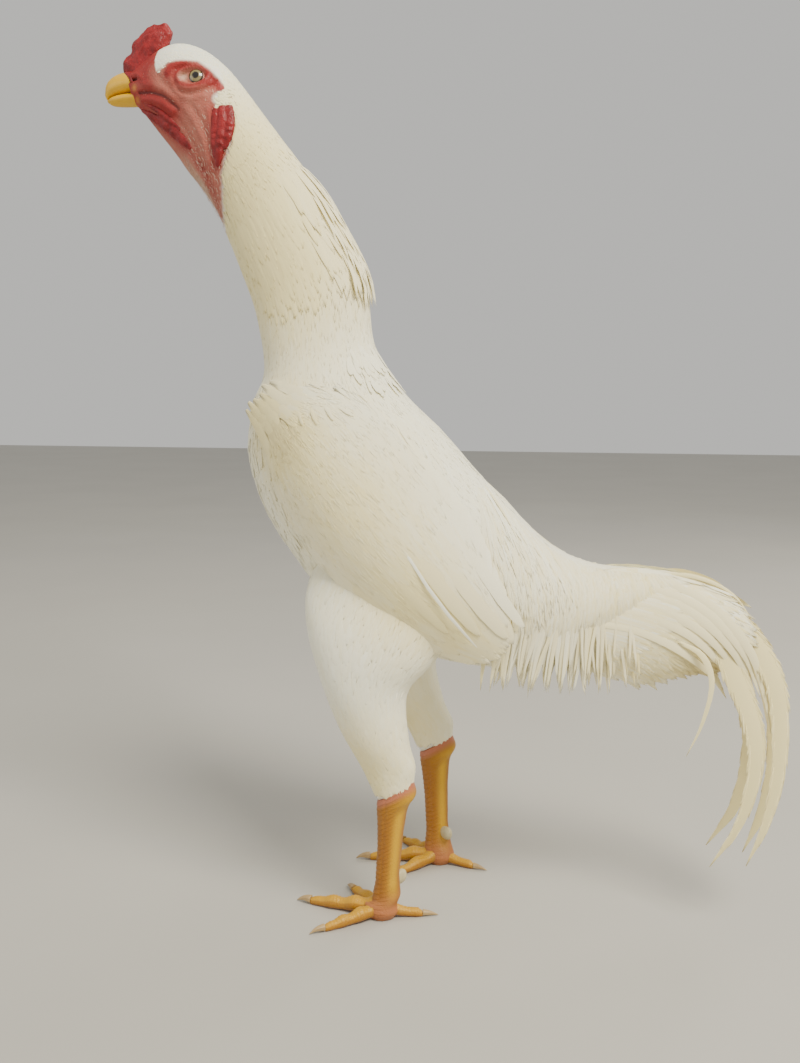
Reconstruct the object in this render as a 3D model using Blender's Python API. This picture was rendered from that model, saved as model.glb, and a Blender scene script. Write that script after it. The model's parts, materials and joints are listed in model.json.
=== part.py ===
"""A shamo cock standing upright, at life size, as a still museum model.

The bird faces -X with +Z up, so its left side is at -Y. Every size below is in millimetres in the bird's
own side view: x runs towards the tail, z up from the floor, and y is the distance from its middle plane.
Each named part of the body is one closed solid, and neighbours keep a thin gap.
"""

import math
import random
from typing import NamedTuple

import bmesh
import bpy
import numpy as np

MM = 0.001
GAP = 0.35  # between neighbouring solids
SIDES = {"left": -1, "right": 1}



class Section(NamedTuple):
    """One cross-section of a form: two ends of its long axis, half width, middle y and pinch."""

    top_x: float
    top_z: float
    low_x: float
    low_z: float
    half_width: float
    middle_y: float = 0.0
    pinch: float = 0.0


# Head, neck and body are one form. Each of its parts starts with the last section of the part before.
HEAD = (
    Section(-232.3, 677.6, -226.0, 650.2, 9.5),
    Section(-219, 684, -217.5, 641, 14.5, pinch=0.10),
    Section(-204, 692, -208, 629, 19, pinch=0.26),
    Section(-187, 696, -199, 618, 22.5, pinch=0.32),
    Section(-168, 690.5, -191.5, 608.5, 23.5, pinch=0.32),
    Section(-150, 677, -184.5, 598.5, 25, pinch=0.28),
    Section(-135, 659.5, -177, 589.5, 26.5, pinch=0.2),
    Section(-121, 641, -169.5, 579, 28, pinch=0.14),
)
NECK = (
    Section(-121, 641, -169.5, 579, 28, pinch=0.14),
    Section(-102, 616.5, -159.5, 563, 29.5, pinch=0.08),
    Section(-81.5, 590, -147.5, 538, 31.5, pinch=0.04),
    Section(-60, 555, -136, 510, 34),
    Section(-37, 509, -126, 481, 37),
    Section(-30, 458, -119.5, 437, 44),
)
TORSO = (
    Section(-30, 458, -119.5, 437, 44),
    Section(-7, 421, -129, 408, 59),
    Section(25, 390, -133, 372, 69),
    Section(50, 362, -123, 332, 73, pinch=0.06),
    Section(74, 336, -99, 291, 73, pinch=0.08),
    Section(98, 312, -62, 247, 69, pinch=0.08),
)
SADDLE = (
    Section(98, 312, -62, 247, 69, pinch=0.08),
    Section(123, 294.5, -8, 215, 61, pinch=0.05),
    Section(148, 286, 52, 201, 51),
    Section(170, 284, 108, 203, 39),
    Section(188, 283, 146, 222, 28),
)
TAIL_ROOT = (
    Section(188, 283, 146, 222, 28),
    Section(206, 281, 172, 235, 19),
    Section(226, 277, 200, 250, 9),
)

# Legs: front line, back line, half width and distance of the middle from the body's middle plane.
THIGH = (
    Section(-50, 312, 48, 276, 21, 40),
    Section(-71, 275, 46, 240, 29, 45),
    Section(-73, 243, 30, 213, 33, 50),
    Section(-62, 203, 9, 187, 30, 54),
    Section(-45, 160, 11, 150, 22, 57),
    Section(-26, 126, 16.5, 131, 14.5, 58),
    Section(-14.5, 101, 15.5, 119, 11.8, 58),
)
THIGH_FOLLOWS_HOCK = (0.0, 0.0, 0.05, 0.3, 0.65, 0.9, 1.0)
KNEE = 2.75  # where the thigh's feathers end and the drumstick's begin, counted in its sections
THIGH_RINGS = 6
DRUMSTICK_RINGS = 7
SHANK_FRONT = -14.2
SHANK_BACK = 15.2
HOCK_TOP_FRONT_Z = 100.5
HOCK_TOP_BACK_Z = 118.5
SHANK_Y = 58.0
ANKLE_Z = 20.0
SCUTES = 9
SCUTE_RAISE = 0.7
SCUTE_SLOPE = 0.86  # share of a scute that slopes out before it steps back
SHANK_WAIST = 0.24
SHANK_HALF_WIDTH = 11.4
BALL_OF_FOOT = ((13.0, 13.5), (6.5, 14.5), (0.0, 9.5))  # height and reach
BALL_NARROWING = 0.8


class Leg(NamedTuple):
    """How far a leg's hock and ankle stand behind the plain leg, and where its foot rests."""

    hock_back: float
    ankle_back: float
    foot_x: float
    foot_y: float


LEGS = {
    "left": Leg(hock_back=0.0, ankle_back=-7.5, foot_x=-12.0, foot_y=53.5),
    "right": Leg(hock_back=12.0, ankle_back=16.0, foot_x=16.5, foot_y=53.5),
}


class Toe(NamedTuple):
    """A toe: its heading away from straight ahead (+ towards the outside), length and root radius."""

    heading: float
    length: float
    radius: float
    pads: int


TOES = {
    "inner": Toe(-48, 47, 6.4, 2),
    "middle": Toe(-8, 62, 7.0, 3),
    "outer": Toe(40, 50, 6.2, 3),
    "back": Toe(193, 33, 5.6, 1),
}
CLAW_LENGTH = 13.0
SPUR_LENGTH = 13.0
SPUR_Z = 30.0
SPUR_OUT = (0.62, -0.76, 0.12)
SPUR_SHAPE = ((0.0, 5.6), (0.35, 5.2), (0.7, 4.2), (0.92, 2.4), (1.0, 0.8))  # share of the length, radius

NOSTRIL = ((-227.0, 667.6), (-215.0, 667.0))
NOSTRIL_HALF_HEIGHTS = (0.3, 0.9, 1.1, 0.8, 0.3)
MOUTH = ((-226.5, 660.2), (-219.0, 659.0), (-208.0, 653.5))
MOUTH_HALF_DEPTHS = (1.6, 1.6, 1.5, 1.3, 1.1, 0.6)
EYE = (-166.0, 664.8)
EYE_RADIUS = 7.6
EYE_BULGE = 4.8
LID_HALF_LENGTH = 10.8
LID_HALF_HEIGHT = 7.0
EAR = (-142.5, 646.5)
EAR_RADIUS = 7.0
EAR_BULGE = 3.4
EARLOBE = ((-141.5, 641.0), (-141.0, 630.0), (-144.0, 618.0), (-147.0, 606.0), (-149.0, 595.5))
EARLOBE_HALF_WIDTHS = (3.0, 8.2, 8.6, 7.6, 6.0, 4.0, 1.4)
EARLOBE_HALF_DEPTHS = (2.0, 3.0, 3.2, 3.2, 3.0, 2.4, 1.0)
WATTLE = ((-222.0, 648.0), (-210.0, 638.5), (-196.0, 628.0), (-183.0, 617.0), (-171.5, 608.0))
WATTLE_HALF_WIDTHS = (0.9, 2.6, 3.6, 4.4, 5.0, 5.2, 4.4, 1.6)
WATTLE_HALF_DEPTHS = (0.9, 2.0, 2.4, 2.8, 3.0, 3.0, 2.4, 1.0)
LID_THICKNESS = 1.5

# The folded wing lies along its own axis, which starts at the wrist and runs down to the wing's tip.
WING_START = (-103.0, 398.0)
WING_END = (94.0, 231.0)


class WingRow(NamedTuple):
    """At a distance along the wing: its lower and upper edge, the outer surface's y and its ridge."""

    along: float
    lower: float
    upper: float
    outer_y: float
    ridge: float


WING = (
    WingRow(-3, -3, 14, 62, 24),
    WingRow(8, -14, 32, 68, 24),
    WingRow(32, -31, 54, 77, 19),
    WingRow(70, -48, 60, 83, 6),
    WingRow(120, -57, 52, 84, -6),
    WingRow(168, -56, 42, 80, -12),
    WingRow(212, -48, 24, 73, -8),
    WingRow(245, -33, 9, 66, -4),
    WingRow(261, -14, -2, 62, -8),
)
WING_ROUNDNESS = 0.0078
WING_DEPTH = 11.0
WING_EDGE = 1.4  # thickness at the edges
WING_EDGE_DROP = 1.6
WING_STEPS = 8
WING_RIBS = 5

# Tail, in side view: main feathers fan out from one root, and sickles arch over and hang behind.
SICKLE_OUTER = (
    (176, 274), (219, 269), (248, 253), (270, 232), (286, 205), (292, 177), (293, 130), (285, 86), (272, 52),
)
SICKLE_INNER = (
    (176, 268), (213, 262), (241, 239), (259, 202), (273, 165), (275, 131), (265, 88), (244, 52),
)
SICKLE_CUTS = (0.0, 0.42, 0.7, 1.0)


class Plume(NamedTuple):
    """A tail feather in side view: root, heading (0 to the rear, - down), bend, length, y and width."""

    x: float
    z: float
    heading: float
    bend: float
    length: float
    root_y: float
    tip_y: float
    half_width: float


class Tier(NamedTuple):
    """A tier of wing feathers, in wing coordinates, from its lowest feather to its highest."""

    count: int
    low_root: tuple
    low_tip: tuple
    high_root: tuple
    high_tip: tuple
    half_width: float
    tip_lift: float


WING_TIERS = (
    Tier(3, (160, -44), (214, -52), (190, -14), (263, -15), 6.0, 0.8),
    Tier(7, (58, -30), (178, -53), (134, 30), (256, 3), 8.0, 2.6),
    Tier(5, (24, -24), (106, -48), (74, 38), (168, 32), 9.4, 4.6),
    Tier(4, (8, -4), (62, -36), (30, 34), (110, 42), 10.0, 5.8),
)
WING_WOBBLE = 1.5
WING_VANE_TILT = 0.17
WING_VANE_SINK = 2.0

# Share of the length and of the half width, from root to tip.
TAPERED = ((0.0, 0.6), (0.34, 1.0), (0.7, 0.8), (1.0, 0.1))
ROUNDED = ((0.0, 0.6), (0.4, 1.0), (0.84, 0.9), (1.0, 0.3))
HANGING = ((0.0, 0.6), (0.15, 0.95), (0.4, 1.0), (0.72, 0.8), (1.0, 0.1))
# Share of the way from the sunk root to the full lift at the same places.
RISE = (0.0, 0.6, 0.82, 1.0)
HANGING_RISE = (0.0, 0.55, 0.8, 1.0, 1.0)
VANE_HALF_THICKNESS = 0.45
TIP_HALF_THICKNESS = 0.3
VANE_THICKNESSES = (VANE_HALF_THICKNESS,) * 3 + (TIP_HALF_THICKNESS,)
PLUME_TILT = 0.3
MAIN_TAIL_FEATHERS = 7
TAIL_COVERTS = 4
SICKLE_TRIM = 0.0014  # share of a sickle left off at each cut, for the gap
SICKLE_TILT = 0.35
SICKLE_ROOT_SHARE = 0.45
SICKLE_TAPER = 3.2
SICKLE_TIP_HALF_WIDTH = 0.7
SICKLE_HALF_THICKNESS = 0.55
SICKLE_STEPS = 5
ROUND_TIPPED_FROM = 70.0  # tail feathers longer than this have a rounded tip
HACKLE_SINK = 2.5
CHANCE = random.Random(7)


class HackleRow(NamedTuple):
    """A row of neck hackles: where it starts, its reach along the neck, their number and how far round."""

    start: float
    reach: float
    count: int
    round_to: float
    lift: float


HACKLE_ROWS = (
    HackleRow(0.1, 1.35, 4, 70, 3.2),
    HackleRow(0.85, 1.6, 6, 108, 3.8),
    HackleRow(1.85, 1.6, 7, 134, 4.6),
    HackleRow(2.85, 1.5, 8, 148, 6.0),
    HackleRow(3.95, 1.3, 9, 156, 4.0),
)
HACKLE_HALF_WIDTH = 6.8
HACKLE_STAGGER = 0.25
HACKLE_WOBBLE = 0.15
SADDLE_HALF_WIDTH = 5.3
SADDLE_BEND = 4.0
SADDLE_WOBBLE = 5.0
SADDLE_HANG = 1.2  # how far a hackle may come in from one place on it to the next
# Each row's front root and tip, rear root and tip, number of hackles and lift.
SADDLE_ROWS = (
    ((97, 296), (103, 195), (176, 268), (172, 206), 6, 3.0),
    ((101, 305.5), (116, 218), (178, 279), (184, 226), 5, 6.0),
)

PLUMAGE = (0.80, 0.77, 0.68)
COLOURS = {
    "plumage": PLUMAGE,
    "face": (0.55, 0.17, 0.14),
    "comb": (0.42, 0.06, 0.05),
    "beak": (0.78, 0.50, 0.08),
    "leg": (0.62, 0.35, 0.09),
    "horn": (0.62, 0.50, 0.33),
    "eye": (0.60, 0.52, 0.36),
}
ROUGHNESS = {"eye": 0.1, "beak": 0.35, "horn": 0.4, "leg": 0.5}
DEFAULT_ROUGHNESS = 0.75


def clear_scene():
    """Starts from an empty scene."""
    for old in list(bpy.data.objects):
        bpy.data.objects.remove(old, do_unlink=True)


def material_named(name):
    """One material for each finish, made once."""
    found = bpy.data.materials.get(name)
    if found:
        return found
    made = bpy.data.materials.new(name)
    made.use_nodes = True
    shader = made.node_tree.nodes["Principled BSDF"]
    shader.inputs["Base Color"].default_value = (*COLOURS[name], 1.0)
    shader.inputs["Roughness"].default_value = ROUGHNESS.get(name, DEFAULT_ROUGHNESS)
    shader.inputs["Metallic"].default_value = 0.0
    return made


def object_from(name, points, faces, material="plumage"):
    """A mesh object from points in millimetres and faces."""
    mesh = bpy.data.meshes.new(name)
    mesh.from_pydata([tuple(MM * float(v) for v in p) for p in points], [], faces)
    mesh.materials.append(material_named(material))
    made = bpy.data.objects.new(name, mesh)
    bpy.context.scene.collection.objects.link(made)
    return made


def smooth_rows(rows, u):
    """The values between rows at index u, on a Catmull-Rom curve."""
    table = np.array(rows, float)
    last = len(table) - 1
    i = int(min(max(math.floor(u), 0), last - 1))
    t = u - i
    a, b = table[i], table[i + 1]
    before = table[i - 1] if i > 0 else 2 * a - b
    after = table[i + 2] if i + 2 <= last else 2 * b - a
    return 0.5 * (
        2 * a
        + (b - before) * t
        + (2 * before - 5 * a + 4 * b - after) * t * t
        + (3 * a - before - 3 * b + after) * t**3
    )


class Form:
    """A smooth body through cross-sections: u counts them, and a turns from the top (0) to the right."""

    SIDE_MISS = 4.0
    SIDE_REACH = 1.06

    def __init__(self, sections, before=None, after=None):
        self.sections = list(sections)
        self.first = 0
        if before:
            self.sections.insert(0, before)
            self.first = 1
        self.count = len(sections)
        if after:
            self.sections.append(after)

    def section(self, u):
        return Section(*smooth_rows(self.sections, u + self.first))

    def point(self, u, a):
        s = self.section(u)
        along, up = math.sin(a), math.cos(a)
        x = (s.top_x + s.low_x) / 2 + (s.top_x - s.low_x) / 2 * up
        z = (s.top_z + s.low_z) / 2 + (s.top_z - s.low_z) / 2 * up
        return np.array([x, s.middle_y + s.half_width * along * (1 + s.pinch * up), z])

    def normal(self, u, a):
        step = 0.02
        du = self.point(u + step, a) - self.point(u - step, a)
        da = self.point(u, a + step) - self.point(u, a - step)
        n = np.cross(da, du)
        s = self.section(u)
        middle = np.array([(s.top_x + s.low_x) / 2, s.middle_y, (s.top_z + s.low_z) / 2])
        if np.dot(n, self.point(u, a) - middle) < 0:
            n = -n
        return n / np.linalg.norm(n)

    def raised(self, u, a, lift):
        return self.point(u, a) + self.normal(u, a) * lift

    def side_angle(self, x, z):
        """The (u, a) on the right side whose side view is this x and z, or None off the form."""
        best = None
        for step in range(int((self.count - 1) * 24) + 1):
            u = step / 24
            s = self.section(u)
            middle = np.array([(s.top_x + s.low_x) / 2, (s.top_z + s.low_z) / 2])
            up = np.array([s.top_x, s.top_z]) - middle
            away = np.array([x, z]) - middle
            miss = abs(up[0] * away[1] - up[1] * away[0]) / np.linalg.norm(up)
            level = float(np.dot(away, up) / np.dot(up, up))
            if abs(level) <= self.SIDE_REACH and miss < self.SIDE_MISS and (best is None or miss < best[0]):
                best = (miss, u, math.acos(max(-1.0, min(1.0, level))))
        return None if best is None else (best[1], best[2])

    def solid(self, name, rings, sides, material="plumage", grow=0.0, shorten=0.0, ends=None):
        """The closed body, or with grow a swollen copy of it to cut a neighbour with."""
        start, stop = ends or (0.0, self.count - 1.0)
        points = []
        for r in range(rings + 1):
            u = start + (stop - start) * r / rings
            for k in range(sides):
                a = 2 * math.pi * k / sides
                points.append(self.raised(u, a, grow) if grow else self.point(u, a))
        for end, ring in ((-1, 0), (1, rings)):
            move = self.outward(ring / rings * (stop - start) + start, end) * (grow - shorten)
            for k in range(sides):
                points[ring * sides + k] = points[ring * sides + k] + move
        return object_from(name, points, tube_faces(rings, sides), material)

    def outward(self, u, end):
        """The direction out of the form's end at u: -1 at its start and 1 at its stop."""
        s = self.section(u)
        along = np.array([-(s.top_z - s.low_z), 0.0, s.top_x - s.low_x])
        along /= np.linalg.norm(along)
        near, far = self.section(u - 0.05), self.section(u + 0.05)
        flow_x = far.top_x + far.low_x - near.top_x - near.low_x
        flow_z = far.top_z + far.low_z - near.top_z - near.low_z
        return along * end * (1 if along[0] * flow_x + along[2] * flow_z > 0 else -1)


def tube_faces(rings, sides):
    """Triangles of a closed tube of rings + 1 rings, split alike in every copy, and its flat ends."""
    faces = []
    for r in range(rings):
        for k in range(sides):
            a, b = r * sides + k, r * sides + (k + 1) % sides
            faces += [(a, b, b + sides), (a, b + sides, a + sides)]
    faces.append(tuple(reversed(range(sides))))
    faces.append(tuple(rings * sides + k for k in range(sides)))
    return faces


def face_out(obj):
    """Turns a closed mesh's faces outwards."""
    bm = bmesh.new()
    bm.from_mesh(obj.data)
    bmesh.ops.recalc_face_normals(bm, faces=bm.faces)
    if bm.calc_volume(signed=True) < 0:
        bmesh.ops.reverse_faces(bm, faces=bm.faces)
    bm.to_mesh(obj.data)
    bm.free()
    return obj


def keep_largest(obj):
    """Keeps the mesh's largest closed surface only."""
    bm = bmesh.new()
    bm.from_mesh(obj.data)
    unseen = set(bm.faces)
    groups = []
    while unseen:
        stack = [unseen.pop()]
        group = []
        while stack:
            face = stack.pop()
            group.append(face)
            for edge in face.edges:
                for other in edge.link_faces:
                    if other in unseen:
                        unseen.remove(other)
                        stack.append(other)
        groups.append(group)
    groups.sort(key=enclosed_volume)
    for group in groups[:-1]:
        bmesh.ops.delete(bm, geom=group, context="FACES")
    bm.to_mesh(obj.data)
    bm.free()
    return obj


def enclosed_volume(faces):
    """Six times the volume that a closed group of faces holds."""
    total = 0.0
    for face in faces:
        corners = [v.co for v in face.verts]
        for b, c in zip(corners[1:], corners[2:]):
            total += corners[0].dot(b.cross(c))
    return total


def boolean(obj, others, operation, solver="EXACT"):
    """Joins or cuts obj with the other objects in one applied Boolean, and removes them."""
    group = bpy.data.collections.new("operands")
    bpy.context.scene.collection.children.link(group)
    for other in others:
        face_out(other)
        group.objects.link(other)
    face_out(obj)
    cut = obj.modifiers.new("boolean", "BOOLEAN")
    cut.operation = operation
    cut.operand_type = "COLLECTION"
    cut.collection = group
    cut.solver = solver
    bpy.context.view_layer.update()
    graph = bpy.context.evaluated_depsgraph_get()
    mesh = bpy.data.meshes.new_from_object(obj.evaluated_get(graph))
    obj.modifiers.remove(cut)
    obj.data = mesh
    for other in list(group.objects):
        bpy.data.objects.remove(other, do_unlink=True)
    bpy.data.collections.remove(group)
    return keep_largest(obj)


def fuse(obj, others, solver="EXACT"):
    """Joins pieces to a node, which stays one closed body."""
    return boolean(obj, others, "UNION", solver)


def carve(obj, cutters, solver="EXACT"):
    """Cuts a node clear of swollen copies of its neighbours."""
    return boolean(obj, cutters, "DIFFERENCE", solver)


HEAD_FORM = Form(HEAD, after=NECK[1])
NECK_FORM = Form(NECK, before=HEAD[-2], after=TORSO[1])
TORSO_FORM = Form(TORSO, before=NECK[-2], after=SADDLE[1])
SADDLE_FORM = Form(SADDLE, before=TORSO[-2], after=TAIL_ROOT[1])
TAIL_FORM = Form(TAIL_ROOT, before=SADDLE[-2])


def on_bird(x, z, sign, lift):
    """A place on the head or neck, given in side view, and a little above it."""
    for form in (HEAD_FORM, NECK_FORM):
        found = form.side_angle(x, z)
        if found:
            return form.raised(found[0], found[1] * sign, lift)
    raise ValueError(f"nothing at {x}, {z}")


# Each part of the body with its form, how many rings and corners its solid has, and its material.
BODY = {
    "head": (HEAD_FORM, 9, 16, "face"),
    "neck": (NECK_FORM, 10, 16, "plumage"),
    "torso": (TORSO_FORM, 10, 22, "plumage"),
    "saddle": (SADDLE_FORM, 8, 20, "plumage"),
    "tail": (TAIL_FORM, 4, 12, "plumage"),
}


def swollen(*names):
    """Copies of parts of the body with the gap added all round, to cut what lies on them with."""
    made = []
    for name in names:
        form, rings, sides, _ = BODY[name]
        made.append(form.solid(f"{name}_swollen", rings, sides, grow=GAP))
    return made


def make_body():
    """Head, neck, torso, saddle and tail root in a row, each with a flat face to the next."""
    for name, (form, rings, sides, material) in BODY.items():
        face_out(form.solid(name, rings, sides, material, shorten=GAP / 2))


def tube(name, centres, across, upward, material, sides=10, floor=False):
    """A closed tube: its centres and its half sizes across and upward. With floor, none is below z 0."""
    centres = [np.array(c, float) for c in centres]
    points = []
    for i, centre in enumerate(centres):
        ahead = centres[min(i + 1, len(centres) - 1)] - centres[max(i - 1, 0)]
        side = np.cross(ahead, (0.0, 0.0, 1.0))
        side /= np.linalg.norm(side)
        up = np.cross(side, ahead)
        up /= np.linalg.norm(up)
        for k in range(sides):
            a = 2 * math.pi * (k + 0.5) / sides
            p = centre + side * across[i] * math.cos(a) + up * upward[i] * math.sin(a)
            if floor:
                p[2] = max(p[2], 0.0)
            points.append(p)
    return face_out(object_from(name, points, tube_faces(len(centres) - 1, sides), material))


def leg_form(side):
    """The form of one side's thigh, leaning back to its hock."""
    sign, leg = SIDES[side], LEGS[side]
    thigh = [
        s._replace(
            top_x=s.top_x + share * leg.hock_back,
            low_x=s.low_x + share * leg.hock_back,
            middle_y=sign * s.middle_y,
        )
        for s, share in zip(THIGH, THIGH_FOLLOWS_HOCK)
    ]
    return Form(thigh)


def thigh_solid(side, name, first, last, rings, grow=0.0):
    """A length of the thigh and drumstick before it is cut to the body."""
    shorten = 0.0 if grow else GAP / 2
    return leg_form(side).solid(name, rings, 16, grow=grow, shorten=shorten, ends=(first, last))


def make_thigh(side):
    """The feathered thigh, cut to the body it grows from, and the drumstick below it."""
    end = len(THIGH) - 1.0
    carve(thigh_solid(side, f"thigh_{side}", 0.0, KNEE, THIGH_RINGS), swollen("torso", "saddle"))
    carve(thigh_solid(side, f"drumstick_{side}", KNEE, end, DRUMSTICK_RINGS), swollen("torso", "saddle"))


def shank_sections(side):
    """Pairs of sections that step out at the lower edge of each scute, from hock to ankle."""
    sign, leg = SIDES[side], LEGS[side]
    rows = []
    for i in range(2 * SCUTES):
        scute, edge = divmod(i, 2)
        down = (scute + edge * SCUTE_SLOPE) / (SCUTES - 1 + SCUTE_SLOPE)
        raised = SCUTE_RAISE * edge
        back = leg.hock_back + (leg.ankle_back - leg.hock_back) * down
        swell = 1.0 - SHANK_WAIST * math.sin(math.pi * min(down * 1.15, 1.0)) ** 1.5
        front_z = HOCK_TOP_FRONT_Z + (ANKLE_Z - 5.0 - HOCK_TOP_FRONT_Z) * down
        back_z = HOCK_TOP_BACK_Z + (ANKLE_Z - HOCK_TOP_BACK_Z) * down
        rows.append(
            Section(
                SHANK_FRONT * swell + back - raised,
                front_z,
                SHANK_BACK * swell + back,
                back_z,
                SHANK_HALF_WIDTH * (0.30 + 0.70 * swell),
                sign * (SHANK_Y + (leg.foot_y - SHANK_Y) * down),
            )
        )
    return rows


def shank_solid(side, name, grow=0.0):
    """The scaled shank down to the ball of the foot, with a flat sole on the floor."""
    sign, leg = SIDES[side], LEGS[side]
    sections = shank_sections(side)
    form = Form(sections)
    sides = 10
    points = []
    for row in range(len(sections)):
        for k in range(sides):
            a = 2 * math.pi * k / sides
            points.append(form.point(row, a))
    top_out = form.outward(0, -1)
    for k in range(sides):
        points[k] = points[k] + top_out * (grow - GAP / 2)
    for height, reach in BALL_OF_FOOT:
        for k in range(sides):
            a = 2 * math.pi * k / sides
            x = leg.foot_x - reach * math.cos(a)
            y = sign * leg.foot_y + reach * BALL_NARROWING * math.sin(a)
            points.append(np.array([x, y, height]))
    if grow:
        centre_x, centre_y = leg.foot_x, sign * leg.foot_y
        for i, p in enumerate(points):
            away = p - np.array([np.interp(p[2], (0, 110), (centre_x, leg.hock_back)), centre_y, p[2]])
            points[i] = p + away / max(np.linalg.norm(away), 1.0) * grow
    faces = tube_faces(len(sections) + len(BALL_OF_FOOT) - 1, sides)
    return face_out(object_from(name, points, faces, "leg"))


def toe_tube(side, which, name, grow=0.0):
    """A toe with rounded pads under each joint, flat where it rests on the floor."""
    sign, leg, toe = SIDES[side], LEGS[side], TOES[which]
    heading = math.radians(toe.heading)
    ahead = np.array([-math.cos(heading), sign * math.sin(heading), 0.0])
    start = np.array([leg.foot_x, sign * leg.foot_y, 0.0])
    steps = 3 * toe.pads + 1
    centres, across = [], []
    for i in range(steps + 1):
        share = i / steps
        radius = toe.radius * (1.0 - 0.42 * share) * (1.0 + 0.10 * math.cos(2 * math.pi * share * toe.pads))
        centre = start + ahead * (5.0 + (toe.length - 5.0) * share)
        centre[2] = radius * 0.90 + 3.0 * (1 - share) ** 2
        centres.append(centre)
        across.append(radius + grow)
    return tube(name, centres, across, across, "leg", 8, floor=True), centres, across


def make_toe(side, which):
    """A toe, cut to the shank and the middle toe, and its claw."""
    toe, centres, across = toe_tube(side, which, f"toe_{side}_{which}")
    cutters = [shank_solid(side, "shank_swollen", grow=GAP)]
    if which != "middle":
        cutters.append(toe_tube(side, "middle", "toe_swollen", grow=GAP)[0])
    carve(toe, cutters)
    end, radius = centres[-1], across[-1] * 0.82
    onward = (centres[-1] - centres[-2]) / np.linalg.norm(centres[-1] - centres[-2])
    bends = 4
    claw = []
    for i in range(bends + 1):
        share = i / bends
        point = end + onward * (GAP + CLAW_LENGTH * share)
        fall = max((share - 1 / bends) / (1 - 1 / bends), 0.0) ** 2
        point[2] += (0.9 - point[2]) * fall
        claw.append(point)
    sizes = [radius * (1 - 0.9 * (i / bends) ** 1.3) for i in range(bends + 1)]
    tube(f"claw_{side}_{which}", claw, sizes, sizes, "horn", 6, floor=True)


def make_leg(side):
    """Thigh, shank with its spur, four toes and claws."""
    sign, leg = SIDES[side], LEGS[side]
    make_thigh(side)
    shank_solid(side, f"shank_{side}")
    for which in TOES:
        make_toe(side, which)
    root = np.array([leg.ankle_back + 2.0, sign * leg.foot_y, SPUR_Z])
    out = np.array([SPUR_OUT[0], sign * SPUR_OUT[1], SPUR_OUT[2]])
    path = [root + out * (6.0 + SPUR_LENGTH * share) for share, _ in SPUR_SHAPE]
    sizes = [radius for _, radius in SPUR_SHAPE]
    spur = tube(f"spur_{side}", path, sizes, sizes, "horn", 8)
    carve(spur, [shank_solid(side, "shank_swollen", grow=GAP)])


def wing_row(along):
    """The wing's values at a distance along it."""
    table = np.array(WING, float)
    u = float(np.interp(along, table[:, 0], range(len(table))))
    return WingRow(*smooth_rows(table, u))


def wing_point(side, along, across, lift=0.0):
    """A point on the wing's outer surface, or under it by a negative lift."""
    start, end = np.array(WING_START), np.array(WING_END)
    ahead = (end - start) / np.linalg.norm(end - start)
    up = np.array([-ahead[1], ahead[0]])
    x, z = start + ahead * along + up * across
    row = wing_row(along)
    outer = row.outer_y - WING_ROUNDNESS * (across - row.ridge) ** 2
    return np.array([x, SIDES[side] * (outer + lift), z])


def wing_plate(side, name):
    """The folded wing as one smooth plate, thin at its edges and cut to the body under it."""
    steps, ribs = WING_STEPS, WING_RIBS
    first, last = WING[0].along, WING[-1].along
    outer, inner = [], []
    for i in range(steps + 1):
        along = first + (last - first) * i / steps
        row = wing_row(along)
        for k in range(ribs + 1):
            share = k / ribs
            across = row.lower + (row.upper - row.lower) * share
            rim = math.sin(math.pi * share) ** 0.5
            tip = min(1.0, 0.25 + 1.5 * (1 - i / steps))
            sunk = WING_EDGE_DROP * (1 - rim)
            outer.append(wing_point(side, along, across, -sunk))
            inner.append(wing_point(side, along, across, -sunk - WING_EDGE - WING_DEPTH * rim * tip))
    columns = ribs + 1
    faces = []
    total = (steps + 1) * columns
    for i in range(steps):
        for k in range(ribs):
            a = i * columns + k
            b = a + columns
            faces += [(a, a + 1, b + 1), (a, b + 1, b)]
            faces += [(total + a, total + b + 1, total + a + 1), (total + a, total + b, total + b + 1)]
    loop = list(range(columns))
    loop += [i * columns + ribs for i in range(1, steps + 1)]
    loop += [steps * columns + k for k in range(ribs - 1, -1, -1)]
    loop += [i * columns for i in range(steps - 1, 0, -1)]
    for a, b in zip(loop, loop[1:] + loop[:1]):
        faces += [(b, a, total + a), (b, total + a, total + b)]
    return face_out(object_from(name, outer + inner, faces))


def wing_vane(side, root, tip, half_width, tip_lift):
    """A wing feather on the wing's outer surface, its upper edge tucked in under the next one up."""
    path, across, widths, thick = [], [], [], []
    for (share, wide), rise in zip(ROUNDED, RISE):
        along = root[0] + (tip[0] - root[0]) * share
        level = root[1] + (tip[1] - root[1]) * share
        lift = -WING_VANE_SINK + (WING_VANE_SINK + tip_lift) * rise
        path.append(wing_point(side, along, level, lift))
        flat = wing_point(side, along, level + 1) - wing_point(side, along, level - 1)
        flat /= np.linalg.norm(flat)
        across.append(flat - np.array([0.0, SIDES[side] * WING_VANE_TILT, 0.0]))
        widths.append(half_width * wide)
        thick.append(VANE_HALF_THICKNESS if share < 1 else TIP_HALF_THICKNESS)
    return vane("wing_vane", path, across, widths, thick)


def make_wing(side):
    """The folded wing, lying on the body and the top of the thigh, with its feathers in tiers."""
    wing = wing_plate(side, f"wing_{side}")
    vanes = []
    for tier in WING_TIERS:
        for k in range(tier.count):
            share = k / (tier.count - 1)
            root = between(tier.low_root, tier.high_root, share)
            tip = between(tier.low_tip, tier.high_tip, share)
            tip[0] += CHANCE.uniform(-WING_WOBBLE, WING_WOBBLE)
            vanes.append(wing_vane(side, root, tip, tier.half_width, tier.tip_lift))
    fuse(wing, vanes, "MANIFOLD")
    end = len(THIGH) - 1.0
    thigh = thigh_solid(side, "thigh_swollen", 0.0, end, THIGH_RINGS + DRUMSTICK_RINGS, grow=GAP)
    return carve(wing, [*swollen("neck", "torso", "saddle"), thigh], "MANIFOLD")


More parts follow.
